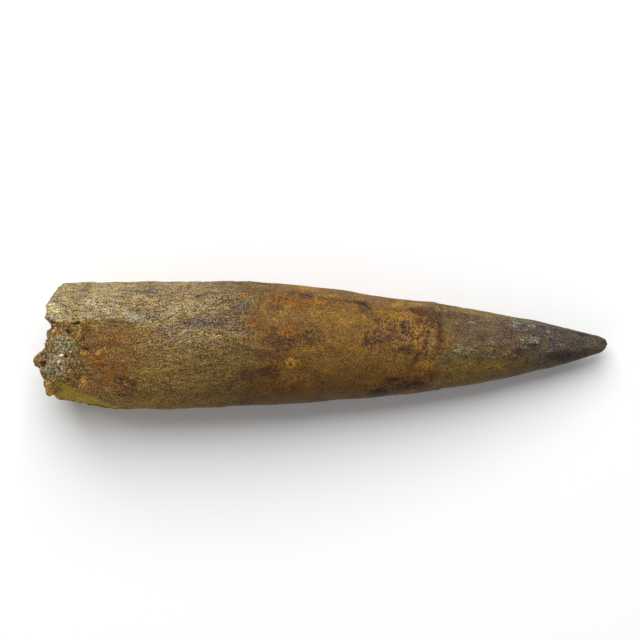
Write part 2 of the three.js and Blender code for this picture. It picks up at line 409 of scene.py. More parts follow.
    def rim(self, angle: np.ndarray) -> np.ndarray:
        """Where the tooth's wall ends at each angle."""
        opened = (angle >= self.opening_from) & (angle <= self.opening_to)
        return np.where(opened, self.opening_rim(angle), self.whole_rim(angle))

    def glazed(self, x: np.ndarray, soft: float) -> np.ndarray:
        """1 where x lies short of the glaze's end and 0 past it, with a soft step between."""
        return ease(self.glaze_end_x - x, -soft, soft)

    def relief(self, x: np.ndarray, angle: np.ndarray) -> np.ndarray:
        """How far the worn surface stands above the plain oval.

        Args:
            x: Where along the tooth.
            angle: Where round it.

        Returns:
            A height for each place.
        """
        turn = np.radians(angle)
        to_tip = self.tip[0] - x
        height = np.zeros(np.broadcast(x, angle).shape)
        for size, per_mm, per_turn, phase in self.waves:
            height = height + size * np.sin(per_mm * x + per_turn * turn + phase)
        height = height * ease(to_tip, 0, self.waves_fade_over)
        along = ease(x, *self.edge_starts) * ease(to_tip, *self.edge_stops_before_tip)
        for edge in self.edge_angles:
            near = np.maximum(0.0, 1 - apart(angle, edge) / self.edge_half_width)
            height = height + self.edge_height * near * along
        glaze = ease(x, self.glaze_start_x, self.glaze_end_x) * self.glazed(x, 0.2)
        height = height + self.glaze_height * glaze
        past = angle - self.layer_edge_angle
        layered = ease(past, -3, 3) * ease(past, 60, 10)
        layered = layered * ease(x, *self.layer_starts) * ease(x, *self.layer_stops)
        height = height + self.layer_height * layered
        dish_x, dish_angle, long, wide, depth = self.dish
        off = np.hypot((x - dish_x) / long, apart(angle, dish_angle) / wide)
        height = height - depth * ease(off, 1, 0.4)
        for pit_x, pit_angle, radius, depth in self.pits:
            width = self.half_width(np.array(pit_x))
            across = np.radians(apart(angle, pit_angle)) * width
            height = height - depth * ease(1 - np.hypot(x - pit_x, across) / radius, 0, 1)
        return height

    def hollow_depth(self, x: np.ndarray) -> np.ndarray:
        """How deep the hollow's wall lies at x: deeper where the hollow closes in."""
        span = self.hollow_floor_x - self.stone_face_x
        t = np.clip((x - self.stone_face_x) / span, 0, 1)
        closing = 1 - np.sqrt(1 - t**3)
        return self.wall + closing * (self.half_height(x) - self.wall)


def lofted(rows: Sequence[np.ndarray], start: Sequence[float], end: Sequence[float]) -> tuple[
    np.ndarray, np.ndarray, np.ndarray
]:
    """Joins rings of points between two end points into one closed skin.

    Args:
        rows: Rings of points in millimetres, all of one length.
        start: The point before the first ring, at the +X end.
        end: The point after the last ring.

    Returns:
        The points, the four-sided faces and the three-sided faces, facing outwards.
    """
    grid = np.stack(rows)
    count, columns = grid.shape[:2]
    points = np.vstack([[start], grid.reshape(-1, 3), [end]])
    here = np.arange(columns)
    after = (here + 1) % columns
    first = 1 + np.arange(count - 1)[:, None] * columns
    quads = np.stack(
        [first + here, first + after, first + columns + after, first + columns + here], axis=-1
    ).reshape(-1, 4)
    last = 1 + (count - 1) * columns
    close = np.full(columns, len(points) - 1)
    fans = np.vstack(
        [
            np.stack([np.zeros(columns, int), 1 + after, 1 + here], axis=-1),
            np.stack([last + here, last + after, close], axis=-1),
        ]
    )
    return points, quads, fans


def make_mesh(
    name: str,
    points: np.ndarray,
    faces: Sequence[np.ndarray],
    fields: Mapping[str, np.ndarray],
) -> bpy.types.Object:
    """Makes a smooth-shaded mesh object.

    Args:
        name: The piece's name.
        points: Its points in millimetres.
        faces: Arrays of faces, each array holding faces of one length.
        fields: Numbers on its points, by name, for its finish to read.

    Returns:
        The new object, linked to the scene.
    """
    mesh = bpy.data.meshes.new(name)
    corners = np.concatenate([f.ravel() for f in faces]).astype(np.int32)
    sizes = np.concatenate([np.full(len(f), f.shape[1]) for f in faces])
    mesh.vertices.add(len(points))
    mesh.vertices.foreach_set("co", (points * MM).astype(np.float32).ravel())
    mesh.loops.add(len(corners))
    mesh.loops.foreach_set("vertex_index", corners)
    mesh.polygons.add(len(sizes))
    starts = np.concatenate([[0], np.cumsum(sizes)[:-1]]).astype(np.int32)
    mesh.polygons.foreach_set("loop_start", starts)
    mesh.update(calc_edges=True)
    mesh.validate()
    mesh.shade_smooth()
    for label, values in fields.items():
        attribute = mesh.attributes.new(label, "FLOAT", "POINT")
        attribute.data.foreach_set("value", values.astype(np.float32).ravel())
    made = bpy.data.objects.new(name, mesh)
    bpy.context.collection.objects.link(made)
    return made


# ---------------------------------------------------------------------------------------------
# Stains
# ---------------------------------------------------------------------------------------------


class Stain(Enum):
    """The minerals and weathering that colour the tooth."""

    CREAM = "cream"
    SLATE = "slate"
    PLUM = "plum"
    RUST = "rust"
    GOLD = "gold"
    UMBER = "umber"
    CRUST = "crust"
    MOTTLE = "mottle"

    @property
    def streaky(self) -> bool:
        """Whether it lies in long streaks."""
        return self in (Stain.CREAM, Stain.SLATE)

    @property
    def at_tip(self) -> bool:
        """Whether it marks only the tip on the parts that face down."""
        return self in (Stain.PLUM, Stain.CRUST, Stain.MOTTLE)


Spot = tuple[float, float, float, float, float, float]

# Where each stain lies on the upper side, as ovals seen from above:
# x, y, half length, half width, turn in degrees, strength.
STAINS: Mapping[Stain, tuple[Spot, ...]] = {
    Stain.CREAM: (
        (-39.3, 5, 1.3, 1.2, 0, 1), (-33.9, 6.8, 2.1, 0.4, -5, 0.6), (-32.7, 6, 1.8, 0.4, -8, 0.5),
        (-31.7, 5, 0.7, 0.4, -35, 0.9), (-30, 5.4, 1.3, 0.4, -10, 0.5),
        (-27.6, 4.3, 1.6, 0.4, -12, 0.9), (-25.5, 3.7, 1, 0.3, -10, 0.7),
        (-35.4, 3.5, 0.7, 0.9, 0, 0.5), (-34.6, -0.8, 0.6, 0.3, 0, 0.8),
        (-35.4, -6.4, 0.4, 0.5, 0, 1), (-35.1, -0.9, 0.6, 0.4, 0, 0.9),
        (-34.9, -5.4, 0.25, 0.8, -15, 1), (-32.4, -0.7, 0.9, 0.35, 40, 0.8),
        (-8.8, -0.3, 1.2, 0.3, -5, 0.7), (-9.9, 0.2, 1.5, 0.4, 0, 0.4),
        (-19.2, -0.8, 0.3, 0.3, 0, 0.8), (15.9, 0.5, 0.8, 0.9, 0, 0.9),
        (1.3, 7.5, 0.6, 0.2, 20, 0.5), (-18, 5.9, 2.9, 0.6, 0, 0.35),
        (-20.9, 5.3, 2.9, 0.7, 0, 0.35), (-40.3, -6.2, 1.4, 1, -40, 1),
        (-35.2, 1.4, 1, 1.2, 0, 0.45), (-36.2, -4.2, 0.8, 0.8, 0, 0.25),
    ),
    Stain.SLATE: (
        (-35.3, 8.2, 0.9, 0.3, 0, 0.8), (-25.5, 8.1, 1.3, 0.4, 0, 0.8),
        (-28.4, 8.3, 1.5, 0.4, 0, 0.4), (-23.2, 7.4, 1.8, 0.4, 0, 0.5),
        (-18, 7.6, 1.5, 0.4, 0, 0.6), (-12.4, 5.6, 1.2, 0.7, 0, 0.7),
        (-11.5, 6.3, 0.7, 0.3, 0, 0.7), (-16.5, 3.5, 3.8, 0.7, 0, 0.75),
        (-23, 2.4, 1.5, 0.6, 0, 0.5), (-24, 2.1, 1.2, 0.4, 0, 0.6), (-29.6, 3.2, 3.5, 0.5, 0, 0.5),
        (-14.8, 6.6, 1.8, 0.4, 0, 0.3), (-19.4, 3, 1.5, 0.7, 0, 0.4),
        (-6.2, 5.5, 0.7, 0.3, 0, 0.5), (-4.3, 7.8, 0.9, 0.3, 10, 0.6),
        (-2.4, 7.4, 1.2, 0.3, 0, 0.8), (0.2, 6.8, 0.6, 0.4, 0, 0.8), (5.1, 6.4, 0.6, 0.3, 0, 0.8),
        (6.3, 5.5, 0.9, 0.7, 0, 0.8), (7.3, 4.7, 0.7, 0.4, 0, 0.5),
        (6.4, 0.4, 0.4, 0.9, -20, 0.85), (7.5, 1.3, 1.3, 0.6, 20, 0.4),
        (9.2, 0.7, 1.2, 0.3, 5, 0.8), (8.7, 1.9, 1.2, 0.4, 0, 0.35),
        (12.5, 2.8, 1.2, 0.7, -40, 0.9), (12.4, -0.9, 1.2, 0.4, 0, 0.85),
        (15.9, 6.8, 0.9, 0.3, -5, 0.4), (10.7, 6.8, 0.6, 0.2, -8, 0.6),
        (15.5, -0.9, 0.9, 0.4, 60, 0.7), (14, -1.8, 0.9, 0.4, 45, 0.7),
        (13.3, -3, 0.4, 0.7, 0, 0.5), (17.1, 2.4, 0.4, 2.1, 0, 0.45), (17, -0.6, 0.4, 1.3, 0, 0.4),
        (8.3, -6.9, 1.4, 0.5, 8, 0.9), (10.8, -4.8, 1.2, 0.3, 0, 0.4),
        (16, -3.9, 0.9, 0.6, 0, 0.4),
    ),
    Stain.PLUM: (
        (26.5, 2.3, 6.7, 1.6, -10, 0.9), (33.4, 1.7, 3.7, 1.2, -12, 0.8),
        (21.9, 1.6, 3, 1.5, 0, 0.6), (34.2, 2.9, 3, 0.4, -14, 0.7), (11.5, 1.6, 5.3, 2.4, 0, 0.35),
        (-40.85, -6.5, 0.7, 0.5, 0, 0.9),
    ),
    Stain.RUST: (
        (-33.4, -1.8, 1.1, 0.45, -10, 0.9), (-32.5, -2.4, 0.9, 0.6, 10, 1),
        (-31.6, -4.7, 1, 0.7, -20, 1), (-28.9, -3.3, 1, 0.7, 30, 0.8),
        (-30.6, 0.9, 1, 0.4, 0, 0.7), (-11.7, 7.4, 0.9, 0.4, 0, 0.9), (-10.3, 3.4, 0.9, 0.6, 0, 1),
        (-6.2, 6.8, 2.1, 0.6, 0, 0.7), (-3.3, 6.3, 1.5, 0.7, 0, 0.5),
        (-3.3, 8.3, 1.2, 0.4, 0, 0.3), (-5, 2.1, 2.1, 1.5, 0, 0.4), (-7.7, -2.8, 1.5, 0.6, 0, 0.4),
        (-8.9, -3.5, 1.2, 0.4, 0, 0.3), (-0.4, 6.2, 1.2, 0.7, 0, 0.5),
        (2.6, 8.6, 2.4, 0.4, 0, 0.3), (34.3, 3.2, 2.7, 0.2, -14, 0.8),
        (-27.5, -0.8, 2.2, 1.3, 0, 0.35), (-32.4, -2.6, 3.2, 2.2, -10, 0.28),
    ),
    Stain.GOLD: (
        (-31.9, -0.6, 0.7, 0.3, 50, 0.9), (-35.2, -5.3, 0.35, 0.8, -10, 1),
        (-32.4, -0.8, 1.1, 0.4, 40, 1), (-35, -1, 0.7, 0.4, 0, 1), (-13.4, 1.4, 3.5, 0.3, 0, 0.8),
        (-13.8, -4.4, 0.4, 0.2, 0, 0.9), (-4.6, -2.5, 0.7, 0.9, 0, 0.7),
        (-25.2, -3.8, 1.2, 0.7, 0, 0.3), (-23.8, -3, 0.6, 0.3, 0, 0.5),
        (11.1, 6.1, 0.9, 0.5, 20, 0.9), (14, 5.9, 1.3, 0.4, 0, 0.6),
        (13.8, 1.6, 2.4, 1.8, 0, 0.35), (9.3, 3.1, 2.1, 1.2, 0, 0.3),
        (15.2, -2.8, 1.3, 0.7, 0, 0.6), (2.6, 3.8, 3.7, 1.5, 0, 0.35),
        (-2.4, 8.6, 1.8, 0.5, -5, 0.6), (22.1, 5, 3, 0.4, -10, 0.7), (31.7, 3, 0.4, 0.2, 0, 0.9),
        (-4.8, 6, 0.7, 0.4, 0, 0.5), (17.6, 5.5, 0.9, 0.4, 0, 0.5), (-0.9, 5.3, 0.3, 0.7, 35, 0.6),
        (6.1, 4.4, 0.5, 0.2, -50, 1), (20.6, -3.2, 2.8, 0.9, 5, 0.5),
        (25.6, -2.9, 2.4, 0.6, 6, 0.4), (3.6, 0.6, 4, 1.8, 0, 0.25),
        (14.6, -3.6, 2.2, 0.7, 10, 0.4), (28, 4.3, 6, 0.25, -13, 0.5),
        (-40, -6.4, 1.2, 0.8, -40, 0.8), (-40.8, -6.5, 0.8, 0.6, 0, 0.9),
        (11, 4.4, 3.6, 1.2, -8, 0.4),
    ),
    Stain.UMBER: (
        # The first three are sunk hollows: their umber is painted shade there as well as stain.
        (-35.5, 1.2, 0.6, 0.6, 0, 1), (-34.7, -0.6, 0.5, 0.4, 0, 0.9),
        (-38, -5.4, 0.6, 0.3, 0, 0.9), (-29, -5.7, 1.8, 1.2, 0, 0.45),
        (-29.5, -7.1, 1.5, 0.4, 0, 0.5), (-9.9, -0.6, 1.5, 0.2, -5, 0.9),
        (-8.4, -1.3, 2, 1.2, 0, 0.45), (-6.2, 0.2, 1.9, 1.5, 0, 0.5), (-8, -3.8, 2.2, 0.9, 0, 0.6),
        (-10.6, -4.2, 1.7, 0.9, 0, 0.5), (-27.3, -1, 2.2, 1.2, 0, 0.2),
        (-1.5, 0.6, 0.7, 0.9, 40, 0.5), (29.4, -0.8, 1.2, 0.7, 0, 0.6),
        (36, -1.6, 3.3, 0.9, 8, 0.65), (39.5, -1, 1.2, 0.5, 10, 0.3), (31, 0.1, 1.5, 0.4, 0, 0.5),
        (39.3, 1.9, 1.2, 0.5, -14, 0.8), (23.4, -2.1, 0.7, 0.4, 0, 0.5),
        (21.2, -1.7, 0.4, 0.3, 0, 0.5), (-4.6, -2.8, 0.3, 0.3, 0, 0.7),
        (13.3, -5.8, 2.1, 0.7, 6, 1), (8.4, -6.9, 1.6, 0.6, 8, 1), (10.9, -4.9, 1.5, 0.3, 0, 0.7),
        (17.6, 2.6, 0.5, 3, 0, 0.8), (14.6, 5.1, 1.4, 0.7, -8, 0.8), (16.3, 4.6, 0.9, 1.3, 0, 0.7),
        (8, 3.6, 0.7, 0.4, 0, 0.5), (10.4, 2.6, 0.8, 0.9, 0, 0.5), (12.2, 2.9, 0.6, 0.6, 0, 0.8),
        (14.2, 3.7, 0.6, 0.4, 0, 0.7), (5.6, 6.2, 0.7, 0.4, -10, 0.6),
        (6.5, 1.3, 1.3, 0.25, 75, 0.7), (15.4, 0.7, 1.5, 0.3, 67, 0.7),
        (14.2, -1.3, 0.9, 0.3, 50, 0.7), (11.4, -0.6, 1.2, 0.3, 10, 0.6),
        (9.6, 1.4, 0.9, 0.3, 30, 0.6), (13.4, 1.6, 0.3, 0.6, 0, 0.6),
    ),
    Stain.CRUST: (
        (29, 3.1, 1.3, 0.5, -5, 0.75), (31.2, 0.7, 1.6, 0.7, 0, 0.75),
        (33.8, 1.9, 0.7, 0.4, 25, 0.6), (20.4, -0.5, 1.1, 0.8, 0, 0.5),
        (26.2, 2.3, 1.2, 0.3, 0, 0.3), (35.6, 0.1, 1.5, 0.3, 0, 0.4),
        (33.3, -0.7, 1.5, 0.4, -10, 0.4), (22, 3.5, 1.2, 0.4, 0, 0.3),
        (40.3, 0.1, 1.5, 0.8, 0, 0.4), (23, 2.4, 3.4, 0.8, -8, 0.3), (28, -1.4, 2, 0.6, 0, 0.35),
        (24.6, 3.9, 2.6, 0.4, -12, 0.35), (31.6, 2.6, 1.6, 0.3, -10, 0.6),
        (30, -0.1, 1.8, 0.4, 0, 0.5), (21.4, -0.9, 1.6, 0.8, 0, 0.5), (36.6, 1, 2, 0.4, -10, 0.3),
        (26.4, 0.3, 2.6, 0.5, -5, 0.35), (24, 4.4, 3, 0.4, -12, 0.3),
        (22.4, 3.5, 1.6, 0.5, -10, 0.45), (25, -1.7, 2.6, 0.5, -5, 0.4),
        (30.2, 2.4, 2.6, 0.4, -8, 0.4),
    ),
    Stain.MOTTLE: (
        (12.6, 1.8, 3.4, 2.2, -10, 1), (9, 2.4, 2.2, 2, 0, 0.7), (7.2, 0.8, 1.2, 1.4, 0, 0.8),
        (15.4, 3.2, 1.6, 1.6, 0, 0.8), (15.6, -0.8, 1, 2, 20, 0.7), (-5.6, 1.4, 3, 2, 0, 0.6),
        (-1.6, 1.2, 1.6, 1.8, 0, 0.8), (-6.4, -2.4, 3.2, 1.6, 0, 0.5), (-1, 4.6, 1.6, 1, 0, 0.4),
        (6, 6.4, 1.8, 0.5, -8, 0.8), (-2, 7.6, 2, 0.5, -10, 0.7), (-6.6, 6, 2.4, 1.5, 0, 0.45),
        (0.6, 5.6, 2.4, 1, -8, 0.45), (11, -5.8, 4.6, 1.2, 6, 0.9), (24.6, -0.6, 3, 0.8, 0, 0.3),
        (32, 1.2, 4, 1.4, -8, 0.5), (-29, -6.2, 2.2, 1.6, 0, 0.7),
    ),
}


# ---------------------------------------------------------------------------------------------
# Shader nodes
# ---------------------------------------------------------------------------------------------


class Wire:
    """A node's output, which can be used in sums."""

    def __init__(self, bench: "Bench", socket: bpy.types.NodeSocket) -> None:
        """Keeps the output and the bench that its nodes stand on."""
        self.bench = bench
        self.socket = socket

    def _sum(self, operation: str, first: "Feed", second: "Feed") -> "Wire":
        """Adds a Math node.

        Args:
            operation: What the node works out.
            first: Its first value.
            second: Its second value.

        Returns:
            The node's output.
        """
        return self.bench.add("ShaderNodeMath", {"operation": operation}, {0: first, 1: second})

    def __add__(self, other: "Feed") -> "Wire":
        """This plus the other."""
        return self._sum("ADD", self, other)

    def __radd__(self, other: "Feed") -> "Wire":
        """The other plus this."""
        return self._sum("ADD", other, self)

    def __sub__(self, other: "Feed") -> "Wire":
        """This less the other."""
        return self._sum("SUBTRACT", self, other)

    def __rsub__(self, other: "Feed") -> "Wire":
        """The other less this."""
        return self._sum("SUBTRACT", other, self)

    def __mul__(self, other: "Feed") -> "Wire":
        """This times the other."""
        return self._sum("MULTIPLY", self, other)

    def __rmul__(self, other: "Feed") -> "Wire":
        """The other times this."""
        return self._sum("MULTIPLY", other, self)


Feed = Wire | float | tuple[float, ...]

# Painted shade and highlight: what a colour is seen through at its darkest and at its palest.
PAINTED_SHADE_AND_HIGHLIGHT: tuple[tuple[Colour, Colour], ...] = (
    ((0.27, 0.19, 0.08, 1), (1.72, 1.86, 2.3, 1)),
    ((1.0, 1.0, 0.56, 1), (1.0, 1.0, 1.24, 1)),
)


@dataclass(frozen=True)
class Veil:
    """A tint, and the two numbers of a field between which it comes in, up to its share."""

    tint: Colour
    edge: Span
    share: float = 1.0


class Fields:
    """The random fields that a finish is mixed from, each round 0.5."""

    def __init__(self, wires: Mapping[str, Wire]) -> None:
        """Keeps the fields by name."""
        self.wires = wires

    def __getitem__(self, name: str) -> Wire:
        """One field."""
        return self.wires[name]

    def swing(self, **weights: float) -> Wire:
        """Adds up fields, each as far as it stands from 0.5, times its weight."""
        parts = [(self.wires[name] - 0.5) * weight for name, weight in weights.items()]
        return sum(parts[1:], parts[0])


class Bench:
    """One material's nodes."""

    def __init__(self, name: str) -> None:
        """Starts an empty material of that name."""
        self.material = bpy.data.materials.new(name)
        self.material.use_nodes = True
        self.tree = self.material.node_tree
        self.tree.nodes.clear()

    def add(
        self,
        kind: str,
        settings: Mapping[str, object],
        feeds: Mapping[str | int, Feed],
        output: str | int = 0,
    ) -> Wire:
        """Adds a node.

        Args:
            kind: The node's type.
            settings: Its settings; a ramp's stops are pairs of place and colour.
            feeds: A value or a wire for each socket that isn't left alone.
            output: Which output to return.

        Returns:
            That output.
        """
        node = self.tree.nodes.new(kind)
        for key, value in settings.items():
            if key == "stops":
                stops = node.color_ramp.elements
                while len(stops) < len(value):
                    stops.new(0.5)
                for stop, (place, colour) in zip(stops, value):
                    stop.position = place
                    stop.color = colour
            else:
                setattr(node, key, value)
        for key, feed in feeds.items():
            if isinstance(feed, Wire):
                self.tree.links.new(feed.socket, node.inputs[key])
            else:
                node.inputs[key].default_value = feed
        return Wire(self, node.outputs[output] if node.outputs else node.inputs[0])

    def millimetres(self) -> Wire:
        """Places on the piece, in millimetres."""
        place = self.add("ShaderNodeTexCoord", {}, {}, "Object")
        return self.add(
            "ShaderNodeVectorMath", {"operation": "SCALE"}, {0: place, "Scale": 1 / MM}
        )

    def stretch(self, place: Wire, by: tuple[float, float, float]) -> Wire:
        """A place times a number for each direction."""
        return self.add("ShaderNodeVectorMath", {"operation": "MULTIPLY"}, {0: place, 1: by})

    def mask(self, name: str) -> Wire:
        """The number that the mesh carries under that name."""
        return self.add("ShaderNodeAttribute", {"attribute_name": name}, {}, "Fac")

    def noise(self, place: Wire, per_mm: float, detail: float = 3, roughness: float = 0.6) -> Wire:
        """A soft random field.

        Args:
            place: Where to read it.
            per_mm: How many of its lumps there are in a millimetre.
            detail: How many sizes of smaller lumps it has.
            roughness: How strong those are.

        Returns:
            Numbers round 0.5.
        """
        feeds = {"Vector": place, "Scale": per_mm, "Detail": detail, "Roughness": roughness}
        return self.add("ShaderNodeTexNoise", {}, feeds, 0)

    def warp(self, place: Wire, per_mm: float, reach: float) -> Wire:
        """Shifts places at random.

        Args:
            place: The places to shift.
            per_mm: How many lumps the random field has in a millimetre.
            reach: How far it shifts them, in millimetres.

        Returns:
            The shifted places.
        """
        feeds = {"Vector": place, "Scale": per_mm, "Detail": 2.0}
        field_ = self.add("ShaderNodeTexNoise", {}, feeds, 1)
        settings = {"operation": "MULTIPLY_ADD"}
        return self.add("ShaderNodeVectorMath", settings, {0: field_, 1: (reach,) * 3, 2: place})

    def motes(self, place: Wire, per_mm: float) -> Wire:
        """A fine random tint round white, for grains of many colours."""
        feeds = {"Vector": place, "Scale": per_mm, "Detail": 2.0}
        return self.shade(self.add("ShaderNodeTexNoise", {}, feeds, 1), 2.0)

    def channel(self, colour: Wire, name: str) -> Wire:
        """One channel of a colour, by its name."""
        return self.add("ShaderNodeSeparateColor", {}, {0: colour}, name)

    def ridge(self, value: Wire, width: float) -> Wire:
        """Thin lines where a random field passes its middle."""
        off = self.add("ShaderNodeMath", {"operation": "ABSOLUTE"}, {0: value - 0.5})
        return self.rise(off, width, 0.0)

    def grains(self, place: Wire, per_mm: float, output: str = "Distance") -> Wire:
        """A random packing: the distance to a grain's middle, or its own colour."""
        feeds = {"Vector": place, "Scale": per_mm}
        return self.add("ShaderNodeTexVoronoi", {}, feeds, output)

    def rise(self, value: Feed, low: float, high: float, top: float = 1.0) -> Wire:
        """A smooth rise from 0 to top.

        Args:
            value: What decides it.
            low: Where it starts.
            high: Where it ends; below low for a rise the other way.
            top: The highest number that it reaches.

        Returns:
            Numbers from 0 to top.
        """
        settings = {"interpolation_type": "SMOOTHSTEP"}
        feeds = {"Value": value, "From Min": low, "From Max": high, "To Max": top}
        return self.add("ShaderNodeMapRange", settings, feeds)

    def blend(self, first: Feed, second: Feed, share: Feed) -> Wire:
        """One colour going over into another by a share."""
        settings = {"data_type": "RGBA"}
        return self.add("ShaderNodeMix", settings, {0: share, 6: first, 7: second}, 2)

    def tint(self, colour: Wire, by: Feed, share: Feed) -> Wire:
        """A colour seen through a stain, by a share."""
        settings = {"data_type": "RGBA", "blend_type": "MULTIPLY"}
        return self.add("ShaderNodeMix", settings, {0: share, 6: colour, 7: by}, 2)

    def veil(self, colour: Wire, veil: Veil, value: Feed, over: Wire | None = None) -> Wire:
        """Lays a veil over a colour.

        Args:
            colour: The colour below.
            veil: The tint, and the numbers that let it in.
            value: The field that lets it in.
            over: How much of it each place may have, where that varies.

        Returns:
            The tinted colour.
        """
        share = self.rise(value, *veil.edge, veil.share)
        return self.tint(colour, veil.tint, share if over is None else share * over)

    def tone(self, colour: Wire, level: Wire) -> Wire:
        """Paints shade and highlight, down to a warm dark and up to a paler light.

        Args:
            colour: The colour.
            level: How far, from 0 for the dark to 1 for the light.

        Returns:
            The new colour.
        """
        for dark, pale in PAINTED_SHADE_AND_HIGHLIGHT:
            colour = self.tint(colour, self.blend(dark, pale, level), 1.0)
        return colour

    def shade(self, colour: Wire, by: Feed) -> Wire:
        """A colour made lighter or darker by a factor."""
        settings = {"operation": "SCALE"}
        return self.add("ShaderNodeVectorMath", settings, {0: colour, "Scale": by})

    def bump(self, height: Wire, depth_mm: float, strength: float) -> Wire:
        """Fine relief: a height from 0 to 1 that stands for a depth in millimetres."""
        feeds = {"Height": height, "Distance": depth_mm * MM, "Strength": strength}
        return self.add("ShaderNodeBump", {}, feeds)

    def finish(self, surface: Mapping[str, Feed]) -> bpy.types.Material:
        """Ends the material in its surface.

        Args:
            surface: What feeds each of the surface's sockets.

        Returns:
            The material.
        """
        shader = self.add("ShaderNodeBsdfPrincipled", {}, surface)
        self.add("ShaderNodeOutputMaterial", {"target": "ALL"}, {"Surface": shader})
        return self.material


def paint(red: float, green: float, blue: float) -> Colour:
    """A colour from its screen values.

    Args:
        red: How much red, from 0 to 255.
        green: How much green.
        blue: How much blue.

    Returns:
        The light it sends back in each channel, from 0 to 1, and full cover.
    """

    def light(value: float) -> float:
        """One channel's light, from 0 to 1."""
        v = value / 255
        return v / 12.92 if v <= 0.04045 else ((v + 0.055) / 1.055) ** 2.4

    return light(red), light(green), light(blue), 1.0


# ---------------------------------------------------------------------------------------------
# Finishes
# ---------------------------------------------------------------------------------------------


@dataclass(frozen=True)
class SandLook:
    """Coarse sand: grains, cement and gaps. The tooth shows it too, where sand clings to it."""

    grey: Colour = paint(163, 145, 99)
    patches: tuple[tuple[str, Colour, Span], ...] = (
        ("mauve", paint(162, 139, 103), (0.3, 0.7)),
        ("green", paint(138, 136, 94), (0.35, 0.65)),
        ("brown", paint(150, 117, 65), (0.3, 0.7)),
    )
    cement: Colour = paint(190, 176, 124)
    cement_edge: Span = (0.72, 1.1)
    cement_share: float = 0.55
    gap: Colour = paint(52, 38, 22)
    gap_edge: Span = (0.44, 0.72)
    gap_share: float = 0.68
    painted_shade_edge: Span = (0.38, 0.62)
    sand_per_mm: float = 2.6
    motes_per_mm: float = 4.6
    motes_share: float = 0.4

    def nodes(self, b: Bench, place: Wire) -> tuple[Wire, Wire]:
        """Adds the sand's nodes.

        Args:
            b: The bench to add them to.
            place: Places in millimetres.

        Returns:
            The sand's colour, and its fine relief from 0 to about 1.
        """
        bent = b.warp(place, 2.2, 0.5)
        sand = b.grains(bent, self.sand_per_mm)
        lot = b.grains(bent, self.sand_per_mm, "Color")
        f = Fields(
            {
                "grain": b.noise(place, 5.0, 3, 0.75),
                "fleck": b.noise(place, 1.6, 4, 0.7),
                "lot": b.channel(lot, "Green"),
            }
        )
        mixed = f.swing(fleck=2.2, lot=0.5)
        colour: Feed = self.grey
        for name, patch, edge in self.patches:
            colour = b.blend(colour, patch, b.rise(b.mask(name) + mixed, *edge))
        cement = b.channel(lot, "Red") + f.swing(grain=1.6)
        cement = b.rise(cement, *self.cement_edge, self.cement_share)
        colour = b.blend(colour, self.cement, cement)
        # Painted shade and highlight, by the grain that also raises the sand's relief.
        colour = b.tone(colour, b.rise(f["grain"] + f.swing(lot=0.06), *self.painted_shade_edge))
        colour = b.tint(colour, b.motes(place, self.motes_per_mm), self.motes_share)
        gap = b.rise(sand + f.swing(grain=1.6), *self.gap_edge, self.gap_share)
        return b.blend(colour, self.gap, gap), f["grain"] * 0.7 + (1 - sand) * 0.5


@dataclass(frozen=True)
class Ground:
    """What the tooth's finish is mixed from: its bench, random fields and main shares."""

    bench: Bench
    place: Wire
    fields: Fields
    mixed: Wire
    root: Wire
    tan: Wire
    mottle: Wire
    tip: Wire
    crust: Wire

    def weigh(self, base: float, **weights: float) -> Wire:
        """Adds up shares, by name, each times its weight, and a base number."""
        parts = [getattr(self, name) * weight for name, weight in weights.items()]
        return sum(parts[1:], parts[0]) + base


